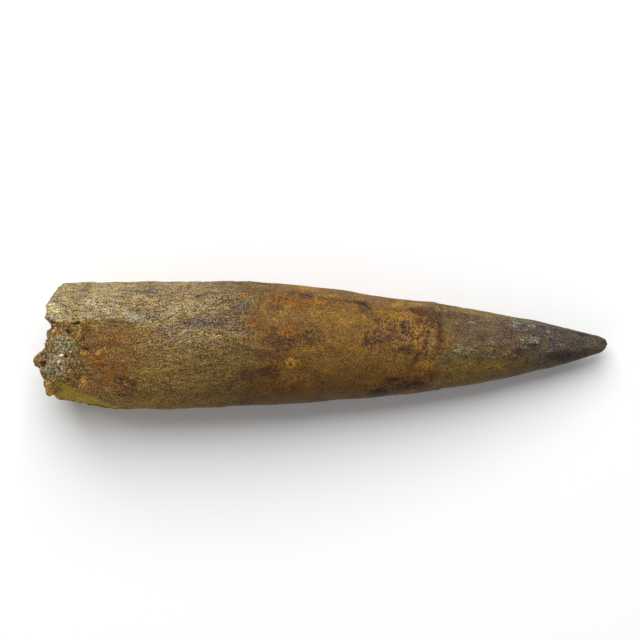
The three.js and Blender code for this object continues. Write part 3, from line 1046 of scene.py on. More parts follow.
@dataclass(frozen=True)
class ToothFinish:
    """Fossil dentine and enamel, stained by the ground it lay in, with painted shade and light."""

    root: Colour = paint(128, 103, 52)
    worn: Colour = paint(119, 88, 45)
    tan: Colour = paint(136, 113, 71)
    pale: Colour = paint(147, 129, 84)
    crown: Colour = paint(116, 83, 37)
    crown_low: Colour = paint(97, 64, 23)
    tip: Colour = paint(99, 82, 48)
    tip_low: Colour = paint(108, 87, 42)
    end: Colour = paint(80, 71, 56)
    mustard: Colour = paint(196, 162, 28)
    mustard_low: Colour = paint(138, 112, 34)
    crust: Colour = paint(150, 150, 118)
    dash: Colour = paint(44, 32, 26)
    speck: Colour = paint(176, 148, 92)
    glint: Colour = paint(206, 202, 178)
    # Painted shade on the side that turns down.
    painted_shade_tint: Colour = (1.0, 0.94, 0.8, 1)
    line_tint: Colour = (0.62, 0.54, 0.66, 1)
    sand: SandLook = SandLook()
    tints: Mapping[Stain, Colour] = field(
        default_factory=lambda: {
            Stain.CREAM: (1.45, 1.62, 1.75, 1),
            Stain.SLATE: (0.6, 0.63, 0.96, 1),
            Stain.PLUM: (1.0, 0.92, 1.3, 1),
            Stain.RUST: (1.26, 0.9, 0.54, 1),
            Stain.GOLD: (1.55, 1.52, 0.95, 1),
            Stain.UMBER: (0.48, 0.43, 0.6, 1),
        }
    )
    root_edge: Span = (0.05, 0.95)
    tan_edge: Span = (0.15, 0.95)
    tip_edge: Span = (0.1, 0.9)
    stain_edge: Span = (0.05, 0.7)
    crust_edge: Span = (0.2, 1.0)
    crust_share: float = 0.8
    dots_edge: Span = (0.48, 0.36)
    dash_edge: Span = (0.5, 0.36)
    dash_share: float = 0.55
    speck_edge: Span = (0.52, 0.64)
    speck_share: float = 0.5
    painted_shade_edge: Span = (0.4, 0.6)
    bright_edge: Span = (0.3, 0.62)
    yellow_speck_edge: Span = (0.56, 0.72)
    yellow_speck_share: float = 0.45
    matrix_edge: Span = (0.2, 0.8)
    flake_edge: Span = (0.2, 1.0)
    flake_share: float = 0.92
    crack_edge: Span = (0.1, 0.9)
    crack_share: float = 0.65
    dim_loss: float = 0.2
    painted_light_gain: float = 0.26
    ring_veil: Veil = Veil((1.5, 1.55, 1.5, 1), (0.1, 0.8))
    vein_veil: Veil = Veil((0.4, 0.34, 0.66, 1), (0.1, 0.8))
    lump_veil: Veil = Veil((1.6, 1.6, 0.95, 1), (0.5, 0.62))
    # Broad drifts of colour over the whole tooth, by the field that lets them in.
    drifts: tuple[tuple[str, Veil], ...] = (
        ("hue", Veil((1.15, 1.12, 0.76, 1), (0.5, 0.66))),
        ("hue", Veil((0.86, 0.8, 1.02, 1), (0.5, 0.34))),
    )
    tan_drifts: tuple[tuple[str, Veil], ...] = (
        ("band", Veil((0.7, 0.72, 0.98, 1), (0.48, 0.34))),
        ("band", Veil((1.2, 1.22, 1.22, 1), (0.52, 0.66))),
    )
    blotches: tuple[tuple[str, Veil], ...] = (
        ("blotch", Veil((1.15, 1.18, 0.94, 1), (0.52, 0.66), 0.8)),
        ("blotch", Veil((0.76, 0.7, 0.76, 1), (0.48, 0.34), 0.8)),
    )
    mustard_veil: Veil = Veil((0.66, 0.56, 0.8, 1), (0.52, 0.72))
    motes_per_mm: float = 4.8
    motes_share: float = 0.4
    line_width: float = 0.03
    vein_width: float = 0.065

    def _ground(self, b: Bench) -> Ground:
        """Adds the random fields and the main shares.

        Args:
            b: The bench to add them to.

        Returns:
            All that the layers are mixed from.
        """
        place = b.millimetres()
        f = Fields(
            {
                "fibre": b.noise(b.stretch(place, (0.22, 1.0, 1.0)), 3.2, 4, 0.65),
                "thread": b.noise(b.stretch(place, (0.5, 1.0, 1.0)), 5.4, 2, 0.6),
                "grain": b.noise(place, 6.0, 3, 0.75),
                "fleck": b.noise(place, 1.6, 3, 0.65),
                "blotch": b.noise(place, 0.5, 4, 0.6),
                "hue": b.noise(b.stretch(place, (0.6, 1.0, 1.0)), 1.0, 4, 0.7),
                "band": b.noise(b.stretch(place, (0.16, 1.0, 1.0)), 1.0, 3, 0.6),
            }
        )
        mixed = f.swing(fleck=2.2, grain=1.4)
        feathered = f.swing(fleck=3.6, fibre=3.0, grain=2.4) + 0.85
        return Ground(
            bench=b,
            place=place,
            fields=f,
            mixed=mixed,
            root=b.rise(b.mask("root") + mixed, *self.root_edge),
            tan=b.rise(b.mask("tan") + f.swing(fibre=1.8) + mixed * 0.6, *self.tan_edge),
            mottle=b.mask(Stain.MOTTLE.value),
            tip=b.mask("tip"),
            crust=b.rise(b.mask(Stain.CRUST.value) * feathered, *self.crust_edge),
        )

    def _layers(self, g: Ground) -> Wire:
        """The root, its outer layer, the crown and the tip, side by side.

        Args:
            g: What the finish is mixed from.

        Returns:
            Their colour.
        """
        b = g.bench
        layer = b.blend(self.tan, self.pale, b.mask("pale"))
        root = b.blend(b.blend(self.root, self.worn, b.mask("worn")), layer, g.tan)
        crown = b.blend(self.crown, self.crown_low, b.mask("low"))
        tip = b.blend(self.tip, self.tip_low, b.mask("low"))
        crown = b.blend(crown, tip, b.rise(g.tip + g.mixed, *self.tip_edge))
        return b.blend(b.blend(crown, self.end, b.mask("end")), root, g.root)

    def _stained(self, g: Ground, colour: Wire) -> Wire:
        """The colour with its stains, the crust and the small rings.

        Args:
            g: What the finish is mixed from.
            colour: The colour so far.

        Returns:
            The new colour.
        """
        b, f = g.bench, g.fields
        ragged = f.swing(fleck=2.6, grain=2.0) + 1
        streaky = f.swing(fibre=3.0, grain=2.0) + 1
        for stain, tint in self.tints.items():
            broken = streaky if stain.streaky else ragged
            share = b.rise(b.mask(stain.value) * broken, *self.stain_edge)
            colour = b.tint(colour, tint, share)
        colour = b.blend(colour, self.crust, g.crust * self.crust_share)
        return b.veil(colour, self.ring_veil, b.mask("ring") * ragged)

    def _mottled(self, g: Ground, colour: Wire) -> Wire:
        """The colour with dark veins and dots, pale lumps and fine dark lines.

        Args:
            g: What the finish is mixed from.
            colour: The colour so far.

        Returns:
            The new colour.
        """
        b, f = g.bench, g.fields
        veins = b.ridge(b.noise(g.place, 1.1, 3, 0.6), self.vein_width)
        dots = b.rise(f["fleck"] + f.swing(grain=0.8), *self.dots_edge)
        colour = b.veil(colour, self.vein_veil, (veins + dots) * g.mottle)
        lumps = f["fleck"] + f.swing(grain=0.5, blotch=0.8)
        colour = b.veil(colour, self.lump_veil, lumps, g.mottle)
        lines = b.ridge(b.noise(g.place, 1.7, 2, 0.6), self.line_width)
        return b.tint(colour, self.line_tint, lines * (0.45 - g.root * 0.25))

    def _drifting(self, g: Ground, colour: Wire) -> Wire:
        """The colour with broad drifts of warm and cool, dark and pale.

        Args:
            g: What the finish is mixed from.
            colour: The colour so far.

        Returns:
            The new colour.
        """
        b = g.bench
        for name, veil in self.drifts:
            colour = b.veil(colour, veil, g.fields[name])
        for name, veil in self.tan_drifts:
            colour = b.veil(colour, veil, g.fields[name], g.tan)
        colour = b.tint(colour, b.motes(g.place, self.motes_per_mm), self.motes_share)
        for name, veil in self.blotches:
            colour = b.veil(colour, veil, g.fields[name])
        return colour

    def _grainy(self, g: Ground, colour: Wire, pores: Wire) -> Wire:
        """The colour with its pores and fibres, and its painted shade and light.

        Args:
            g: What the finish is mixed from.
            colour: The colour so far.
            pores: How porous the tooth is at each place.

        Returns:
            The new colour.
        """
        b, f = g.bench, g.fields
        dashes = b.rise(f["thread"], *self.dash_edge) * pores
        specks = b.rise(f["thread"], *self.speck_edge) * pores
        colour = b.blend(colour, self.dash, dashes * self.dash_share)
        colour = b.blend(colour, self.speck, specks * self.speck_share)
        lined = f.swing(fibre=1.0) * (g.tan + g.weigh(0.5, root=0.6, tip=0.5))
        # Painted shade and highlight, by the grain and fibres that also raise the relief.
        depth = b.rise(f["grain"], *self.painted_shade_edge) - 0.5 + lined
        contrast = g.weigh(0.74, root=0.24, tan=0.3, mottle=0.35, tip=0.08)
        colour = b.tone(colour, depth * contrast + 0.5)
        low = b.mask("low")
        # Painted light: the pale root is made lighter where it turns down.
        light = 1 - b.mask("dim") * self.dim_loss + low * b.mask("pale") * self.painted_light_gain
        # Painted shade: the side that turns down is tinted warmer and darker.
        return b.tint(b.shade(colour, light), self.painted_shade_tint, low)

    def _flaked(self, g: Ground, colour: Wire) -> Wire:
        """The colour with the mustard face where a flake has gone, and the cracks.

        Args:
            g: What the finish is mixed from.
            colour: The colour so far.

        Returns:
            The new colour.
        """
        b, f = g.bench, g.fields
        bright = b.rise(f["fibre"] + f.swing(grain=0.8, blotch=1.2), *self.bright_edge)
        yellow = b.blend(self.mustard_low, self.mustard, bright)
        yellow = b.veil(yellow, self.mustard_veil, f["fleck"] + f.swing(fibre=1.0, blotch=1.0))
        specks = f["grain"] + f.swing(fleck=0.8)
        specks = b.rise(specks, *self.yellow_speck_edge, self.yellow_speck_share)
        # Painted shade and highlight on the flake's face, by the grain of its relief.
        yellow = b.tone(b.blend(yellow, self.speck, specks), f.swing(grain=2.4) + 0.48)
        flake = b.rise(b.mask("mustard") + g.mixed * 0.6, *self.flake_edge, self.flake_share)
        # Cracks are painted dark; along the flake's upper edge that dark is painted shadow.
        crack = b.rise(b.mask("groove"), *self.crack_edge, self.crack_share)
        return b.blend(b.blend(colour, yellow, flake), self.dash, crack)

    def material(self) -> bpy.types.Material:
        """Makes the material.

        Returns:
            The material, which reads the masks that the tooth's mesh carries.
        """
        b = Bench("fossil_tooth")
        g = self._ground(b)
        f = g.fields
        pores = b.mask("pores")
        colour = self._drifting(g, self._mottled(g, self._stained(g, self._layers(g))))
        colour = self._grainy(g, colour, pores)
        sand, sand_height = self.sand.nodes(b, g.place)
        matrix = b.rise(b.mask("matrix") + g.mixed, *self.matrix_edge)
        colour = self._flaked(g, b.blend(colour, sand, matrix))
        glint = b.mask("glint")
        height = f["grain"] * g.weigh(0.3, root=0.5, crust=0.6) + f["fibre"] * g.root * 0.8
        height = height + f["thread"] * pores * 1.2 + sand_height * matrix * 1.4
        return b.finish(
            {
                "Base Color": b.blend(colour, self.glint, glint),
                "Roughness": g.weigh(0.52, root=0.2, crust=0.2) + f.swing(grain=0.3) - glint * 0.35,
                "Specular IOR Level": 0.1,
                "Normal": b.bump(height, 0.14, 0.8),
            }
        )


@dataclass(frozen=True)
class StoneFinish:
    """The sandstone with its pits and crystals, its pits painted near black as shade."""

    sand: SandLook = SandLook()
    stain_veil: Veil = Veil((0.94, 0.86, 0.66, 1.0), (0.3, 0.9), 0.85)
    # Near black painted into the pits as their shade.
    hole: Colour = paint(34, 25, 15)
    pit_shade_edge: Span = (0.2, 0.7)
    pit_shade_share: float = 0.85
    crystal: Colour = paint(226, 228, 196)

    def material(self) -> bpy.types.Material:
        """Makes the material.

        Returns:
            The material, which reads the masks that the stone's mesh carries.
        """
        b = Bench("socket_sandstone")
        place = b.millimetres()
        colour, height = self.sand.nodes(b, place)
        f = Fields({"grain": b.noise(place, 3.0, 3, 0.7)})
        colour = b.veil(colour, self.stain_veil, b.mask("stained") + f.swing(grain=1.6))
        pit = b.rise(b.mask("pit") + f.swing(grain=0.6), *self.pit_shade_edge, self.pit_shade_share)
        crystal = b.mask("crystal")
        return b.finish(
            {
                "Base Color": b.blend(b.blend(colour, self.hole, pit), self.crystal, crystal),
                "Roughness": f.swing(grain=0.3) + 0.84 - crystal * 0.62,
                "Specular IOR Level": 0.15,
                "Normal": b.bump(height, 0.2, 0.8),
            }
        )


@dataclass(frozen=True)
class FloorFinish:
    """Smooth matt paper."""

    paper: Colour = (0.91, 0.91, 0.91, 1.0)

    def material(self) -> bpy.types.Material:
        """Makes the material.

        Returns:
            The material.
        """
        b = Bench("paper")
        tooth = b.noise(b.millimetres(), 1.1, 2)
        return b.finish({"Base Color": self.paper, "Roughness": tooth * 0.1 + 0.85})


# ---------------------------------------------------------------------------------------------
# Weathering
# ---------------------------------------------------------------------------------------------

# Cracks on the upper side, as lines through points seen from above.
CRACKS: tuple[tuple[tuple[float, float], ...], ...] = (
    ((-0.6, 7.2), (1.4, 6.9), (3.8, 6.4), (5.6, 6.2), (7.4, 5.3), (10, 5.4), (12.7, 5.3),
     (15.4, 5.2)),
    ((17, 6.1), (18.1, 5.2)),
    ((20.4, 4.5), (22.3, 4.4), (24.3, 4.1)),
    # This line runs under the flake's upper edge: its dark groove is painted shadow.
    ((-41.0, -5.45), (-39.6, -5.55), (-38.5, -5.4), (-37.5, -5.9)),
    ((-3.3, 7.8), (-1.4, 7.2)),
    ((15.5, 0), (14.4, -1.2), (13.6, -2.1), (13.3, -3.3)),
)
# Small raised rings on the tooth: x, y, radius, strength.
RINGS: tuple[tuple[float, float, float, float], ...] = (
    (-7.05, 3.45, 0.45, 1.4), (-4.6, -2.6, 0.62, 0.7), (-4.4, -4.9, 0.5, 0.7),
    (-3.0, 2.0, 0.4, 0.4), (-29.4, -1.2, 0.45, 0.5), (20.2, -0.3, 0.6, 0.5),
)
# Small bright crystals on the tooth: x, y, radius.
GLINTS: tuple[tuple[float, float, float], ...] = (
    (-38.2, 4.9, 0.14), (-29.2, -2.3, 0.15), (-31.2, -2.7, 0.09), (-32.3, -4.8, 0.07),
    (-33.8, 0.3, 0.08), (-5.3, 0.0, 0.14), (-3.1, 4.1, 0.07), (-1.6, 4.3, 0.07),
    (-2.4, 7.2, 0.12), (-3.0, -4.7, 0.08), (-19.3, -0.8, 0.12), (-15.4, 1.9, 0.09),
    (-17.7, 0.5, 0.09), (-13.8, 5.7, 0.1), (-31.9, -0.1, 0.08), (6.1, 4.4, 0.1),
    (1.9, 8.0, 0.09), (31.7, 3.0, 0.08), (-9.9, 7.9, 0.07), (-17.6, -3.6, 0.07),
)
# Where the sand is grey and not brown, where it is greener and where it is mauver, as ovals seen
# from above: x, y, half length, half width.
Oval = tuple[float, float, float, float]
GREY_SAND: tuple[Oval, ...] = ((-37.9, 0.0, 1.8, 1.5), (-39.4, -2.8, 1.6, 1.9))
GREEN_SAND: tuple[Oval, ...] = ((-37.6, 0.2, 1.5, 0.7), (-39.6, -4.4, 1.4, 0.7))
MAUVE_SAND: tuple[Oval, ...] = ((-39.2, -2.7, 1.6, 1.6),)


def from_ovals(x: np.ndarray, y: np.ndarray, ovals: Sequence[Oval]) -> np.ndarray:
    """How far places lie from the nearest of some ovals' middles.

    Args:
        x: Where along the tooth.
        y: Where across it.
        ovals: The ovals.

    Returns:
        0 at a middle and 1 at an edge, for each place.
    """
    offs = [np.hypot((x - at_x) / long, (y - at_y) / wide) for at_x, at_y, long, wide in ovals]
    return np.minimum.reduce(offs)


def sand_patches(points: np.ndarray) -> dict[str, np.ndarray]:
    """Where the sand is browner, greener or mauver.

    Args:
        points: Places in millimetres.

    Returns:
        A share from 0 to 1 for each place, by the patch's name.
    """
    x = points[..., 0] + 0.8 * Noise(35).layered(points * 0.5, 3)
    y = points[..., 1] + 0.6 * Noise(36).layered(points * 0.6, 3)
    return {
        "brown": 0.1 + 0.9 * ease(from_ovals(x, y, GREY_SAND), 0.8, 1.3),
        "green": 0.9 * ease(from_ovals(x, y, GREEN_SAND), 1.4, 0.7),
        "mauve": ease(from_ovals(x, y, MAUVE_SAND), 1.6, 0.9),
    }


@dataclass
class Weathering:
    """What wear, cracks and minerals do to a patch of the tooth's skin.

    A Span gives two places along the tooth: where something starts to come or go, and where that
    is done.
    """

    form: ToothForm
    x: np.ndarray
    angle: np.ndarray
    root_goes: Span = (-15.5, -6.5)
    dim_comes: Span = (-21.0, -14.0)
    dim_goes: Span = (-12.0, -6.0)
    layer_spreads: Span = (-29.0, -20.0)
    layer_goes: Span = (-13.0, -4.0)
    pale_comes: Span = (-12.0, -38.0)
    end_comes: Span = (24.0, 35.0)
    worn_goes: Span = (-24.0, -31.0)
    worn_angle: float = -14.0
    speckles_come: Span = (-30.0, -23.0)
    speckles_go: Span = (-9.0, -13.0)
    speckled_angle: float = 24.0
    bare_tip_comes: Span = (14.0, 22.0)
    crown_goes: Span = (20.0, 30.0)
    patch_edge: Span = (0.3, 0.62)
    stain_beneath: float = 0.8
    ledge_comes: Span = (-36.5, -34.0)
    ledge_goes: Span = (-16.0, -25.0)
    # Heights and depths of the fine relief, in millimetres: "on" one zone adds to "all".
    fibre_all: float = 0.035
    fibre_on_layer: float = 0.05
    fibre_on_root: float = 0.02
    lumps_all: float = 0.02
    lumps_on_root: float = 0.05
    swells: float = 0.07
    pocks_all: float = 0.05
    pocks_on_root: float = 0.13
    ledge: float = 0.1
    crust: float = 0.05
    grit: float = 0.14
    ring: float = 0.1
    crack: float = 0.09
    # Umber spots short of the hollow's floor sink this far; their umber is painted shade as well.
    hole: float = 0.3
    clinging_grains: float = 0.22
    clinging_bed: float = 0.06
    sunk: float = 0.02
    # A lump on the lip over the stone: x, angle, half length, half width in degrees, height.
    lip_lump: tuple[float, float, float, float, float] = (-39.0, 34.0, 1.9, 11.0, 0.3)
    masks: dict[str, np.ndarray] = field(default_factory=dict)

    def __post_init__(self) -> None:
        """Works out where the patch lies, and how far each place faces up."""
        self.points = self.form.on_oval(self.x, self.angle, np.array(0.0))
        self.upper = ease(np.cos(np.radians(self.angle)), -0.2, 0.1)

    def field(self, along: float, across: float, layers: int, lot: int = 1) -> np.ndarray:
        """A random field on the patch.

        Args:
            along: Its lumps in a millimetre along the tooth.
            across: Its lumps in a millimetre across it.
            layers: How many sizes of lump it has.
            lot: Which of many such fields.

        Returns:
            Numbers from about -1 to 1.
        """
        return Noise(lot).layered(stretched(self.points, along, across), layers)

    def zones(self) -> None:
        """Sets out the root, its outer layer, the low side and the tip."""
        form, masks, x, angle = self.form, self.masks, self.x, self.angle
        wander = self.field(0.25, 0.3, 3, 11)
        bend = 3 * wander + 2.5 * self.field(0.5, 0.5, 2, 13) - 0.12 * self.points[..., 1]
        masks["root"] = 1 - ease(x + bend, *self.root_goes)
        masks["dim"] = ease(x + bend, *self.dim_comes) * (1 - ease(x + bend, *self.dim_goes))
        spreading = ease(x + 3 * wander, *self.layer_spreads)
        edge = angle - form.layer_edge_angle - 3 + 24 * spreading
        edge = edge + (5 + 6 * spreading) * self.field(0.35, 0.4, 3, 12)
        layer = ease(edge / (1.8 + 12 * spreading), -1, 1) * ease(angle, 150, 100)
        masks["tan"] = layer * (1 - ease(x + 6 * wander, *self.layer_goes))
        side = -self.points[..., 1] / form.half_width(x)
        masks["low"] = ease(side + 0.15 * wander, 0.1, 0.95)
        masks["tip"] = ease(x + 2.5 * wander, form.glaze_end_x - 0.8, form.glaze_end_x + 2.2)
        masks["pale"] = ease(x - 4 * wander, *self.pale_comes)
        masks["end"] = ease(x + 3 * wander, *self.end_comes)
        masks["worn"] = ease(x - 3 * wander, *self.worn_goes)
        masks["worn"] *= ease(apart(angle, self.worn_angle), 42, 26)
        speckled = ease(x, *self.speckles_come) * ease(x - 3 * wander, *self.speckles_go)
        speckled *= ease(apart(angle, self.speckled_angle) - 12 * wander, 44, 18)
        pores = 0.12 + masks["root"] * (0.28 + 0.5 * speckled) - 0.2 * masks["worn"]
        masks["pores"] = np.clip(pores, 0, 1)
        masks["matrix"] = self.clinging_sand(wander)
        masks.update(sand_patches(self.points))

    def clinging_sand(self, wander: np.ndarray) -> np.ndarray:
        """Where sand still clings to the tooth beside the stone.

        Args:
            wander: A random field that frays its edge.

        Returns:
            A share from 0 to 1 for each place.
        """
        form, x, angle = self.form, self.x, self.angle
        aside = np.maximum(0, form.opening_from - angle) + np.maximum(0, angle - form.opening_to)
        past_rim = x - np.minimum(x, form.opening_rim(angle))
        off = np.hypot(past_rim, np.minimum(aside, 20) * 0.16)
        bare_lip = ease(angle, 17, 21) * ease(x, -41.5, -40)
        return 0.95 * ease(off - 1.8 * wander, 1.5, -0.3) * (1 - bare_lip)

    def stain(self, stain: Stain) -> None:
        """Sets out one stain, as ovals above and at random on the parts that face down.

        Args:
            stain: Which stain.
        """
        lot = 20 + list(Stain).index(stain)
        x = self.points[..., 0] + 0.4 * self.field(0.8, 0.9, 2, lot)
        y = self.points[..., 1] + 0.25 * self.field(0.8, 0.9, 2, lot + 10)
        ragged = self.field(1.6, 2.2, 2, lot + 20)
        total = np.zeros(x.shape)
        for at_x, at_y, long, wide, turn, strength in STAINS[stain]:
            c, s = math.cos(math.radians(turn)), math.sin(math.radians(turn))
            dx, dy = x - at_x, y - at_y
            off = np.hypot((dx * c + dy * s) / long, (dy * c - dx * s) / wide)
            total = np.maximum(total, strength * ease(off - 0.3 * ragged, 1.6, 0.3))
        patches = self.field(0.12 if stain.streaky else 0.3, 0.4, 3, lot + 30) + 0.25 * ragged
        tip, rest = ease(self.x, *self.bare_tip_comes), 1 - 0.6 * ease(self.x, *self.crown_goes)
        beneath = self.stain_beneath * (tip if stain.at_tip else rest)
        beneath = beneath * ease(patches, *self.patch_edge)
        self.masks[stain.value] = self.upper * total + (1 - self.upper) * beneath

    def cracks(self) -> None:
        """Sets out the cracks."""
        place = self.points[..., :2] + 0.15 * np.stack(
            [self.field(1.3, 1.3, 2, 61), self.field(1.3, 1.3, 2, 62)], axis=-1
        )
        nearest = np.full(self.x.shape, 9.0)
        for line in CRACKS:
            for start, end in zip(line, line[1:]):
                a, b = np.array(start), np.array(end)
                along = np.clip((place - a) @ (b - a) / np.dot(b - a, b - a), 0, 1)
                off = np.linalg.norm(place - a - along[..., None] * (b - a), axis=-1)
                nearest = np.minimum(nearest, off)
        thin = 0.13 + 0.14 * self.field(0.5, 0.5, 2, 63)
        self.masks["groove"] = self.upper * ease(thin - nearest, 0, 0.18)

    def rings(self) -> None:
        """Sets out the small rings."""
        x = self.points[..., 0] + 0.12 * self.field(1.6, 1.6, 2, 64)
        y = self.points[..., 1] + 0.12 * self.field(1.6, 1.6, 2, 65)
        total = np.zeros(x.shape)
        for at_x, at_y, radius, strength in RINGS:
            off = np.hypot(x - at_x, y - at_y) / radius
            total = np.maximum(total, strength * ease(1 - np.abs(off - 1) * 1.6, 0, 0.8))
        self.masks["ring"] = self.upper * total

    def relief(self) -> np.ndarray:
        """How far the fine relief stands above the form's own.

        Returns:
            A height in millimetres for each place.
        """
        masks, x, angle = self.masks, self.x, self.angle
        root, tan = masks["root"], masks["tan"]
        fibre = self.fibre_all + self.fibre_on_layer * tan + self.fibre_on_root * root
        height = self.field(0.3, 1.7, 3, 71) * fibre
        lumps = self.lumps_all + self.lumps_on_root * root * (1 - masks["worn"])
        height += self.field(0.7, 1.3, 3, 72) * lumps
        height += self.field(0.22, 0.3, 3, 73) * self.swells
        pock, lot = Noise(74).grains(stretched(self.points, 0.55, 0.8))
        pocks = ease(pock, 0.42, 0.12) * ease(lot, 0.6, 0.95)
        height -= pocks * (self.pocks_all + self.pocks_on_root * root)
        foot = angle - self.form.layer_edge_angle
        along = ease(x, *self.ledge_comes) * ease(x, *self.ledge_goes)
        height -= self.ledge * np.exp(-(foot**2) / 8) * along
        lump_x, lump_angle, long, wide, size = self.lip_lump
        off = np.hypot((x - lump_x) / long, apart(angle, lump_angle) / wide)
        height += size * ease(off, 1, 0.3)
        grit, _ = Noise(75).grains(self.points * 2.2)
        height += masks[Stain.CRUST.value] * (self.crust + self.grit * (0.7 - grit))
        height += self.ring * masks["ring"] - self.crack * masks["groove"]
        height -= self.hole * masks[Stain.UMBER.value] * (x < self.form.hollow_floor_x)
        sand, lot = Noise(76).grains(self.points * 1.8)
        sandy = self.clinging_grains * (0.5 - sand) * (0.4 + lot) + self.clinging_bed
        height += masks["matrix"] * sandy
        worn = ease(self.form.tip[0] - x, 1.5, 0)
        return height * (1 - 0.6 * worn) - self.sunk

    def settle(self) -> np.ndarray:
        """Works out all of it.

        Returns:
            The fine relief's height for each place.
        """
        self.zones()
        for stain in Stain:
            self.stain(stain)
        self.cracks()
        self.rings()
        return self.relief()


# ---------------------------------------------------------------------------------------------
# Sub-assemblies
# ---------------------------------------------------------------------------------------------


@dataclass
class Skin:
    """A closed skin, its faces and its masks, ready to be made into a piece."""

    points: np.ndarray
    faces: list[np.ndarray]
    masks: dict[str, np.ndarray]

    def set_crystals(
        self, mask: str, places: Sequence[np.ndarray], sizes: Sequence[float], seed: int
    ) -> None:
        """Sets small eight-sided crystals into the skin.

        Args:
            mask: The mask that is 1 on them and 0 elsewhere.
            places: Their middles, in millimetres.
            sizes: Half the length of each.
            seed: Picks how they are turned.
        """
        rng = np.random.default_rng(seed)
        corners = np.array([axis * side for axis in np.eye(3) for side in (1, -1)])
        sides = np.array(
            [[0, 2, 4], [2, 1, 4], [1, 3, 4], [3, 0, 4], [2, 0, 5], [1, 2, 5], [3, 1, 5], [0, 3, 5]]
        )
        start = len(self.points)
        points, faces = [self.points], []
        for index, (place, size) in enumerate(zip(places, sizes)):
            turn = np.linalg.qr(rng.normal(size=(3, 3)))[0]
            if np.linalg.det(turn) < 0:
                turn[:, 0] *= -1
            scale = size * np.array([1.0, rng.uniform(0.5, 0.8), rng.uniform(0.5, 0.8)])
            points.append((corners * scale) @ turn.T + place)
            faces.append(sides + start + len(corners) * index)
        self.points = np.vstack(points)
        extra = np.zeros(len(self.points) - start)
        self.masks = {name: np.concatenate([v, extra]) for name, v in self.masks.items()}
        self.masks[mask] = np.concatenate([np.zeros(start), extra + 1])
        self.faces.append(np.vstack(faces))

    def piece(self, name: str) -> bpy.types.Object:
        """Makes the piece of that name."""
        return make_mesh(name, self.points, self.faces, self.masks)


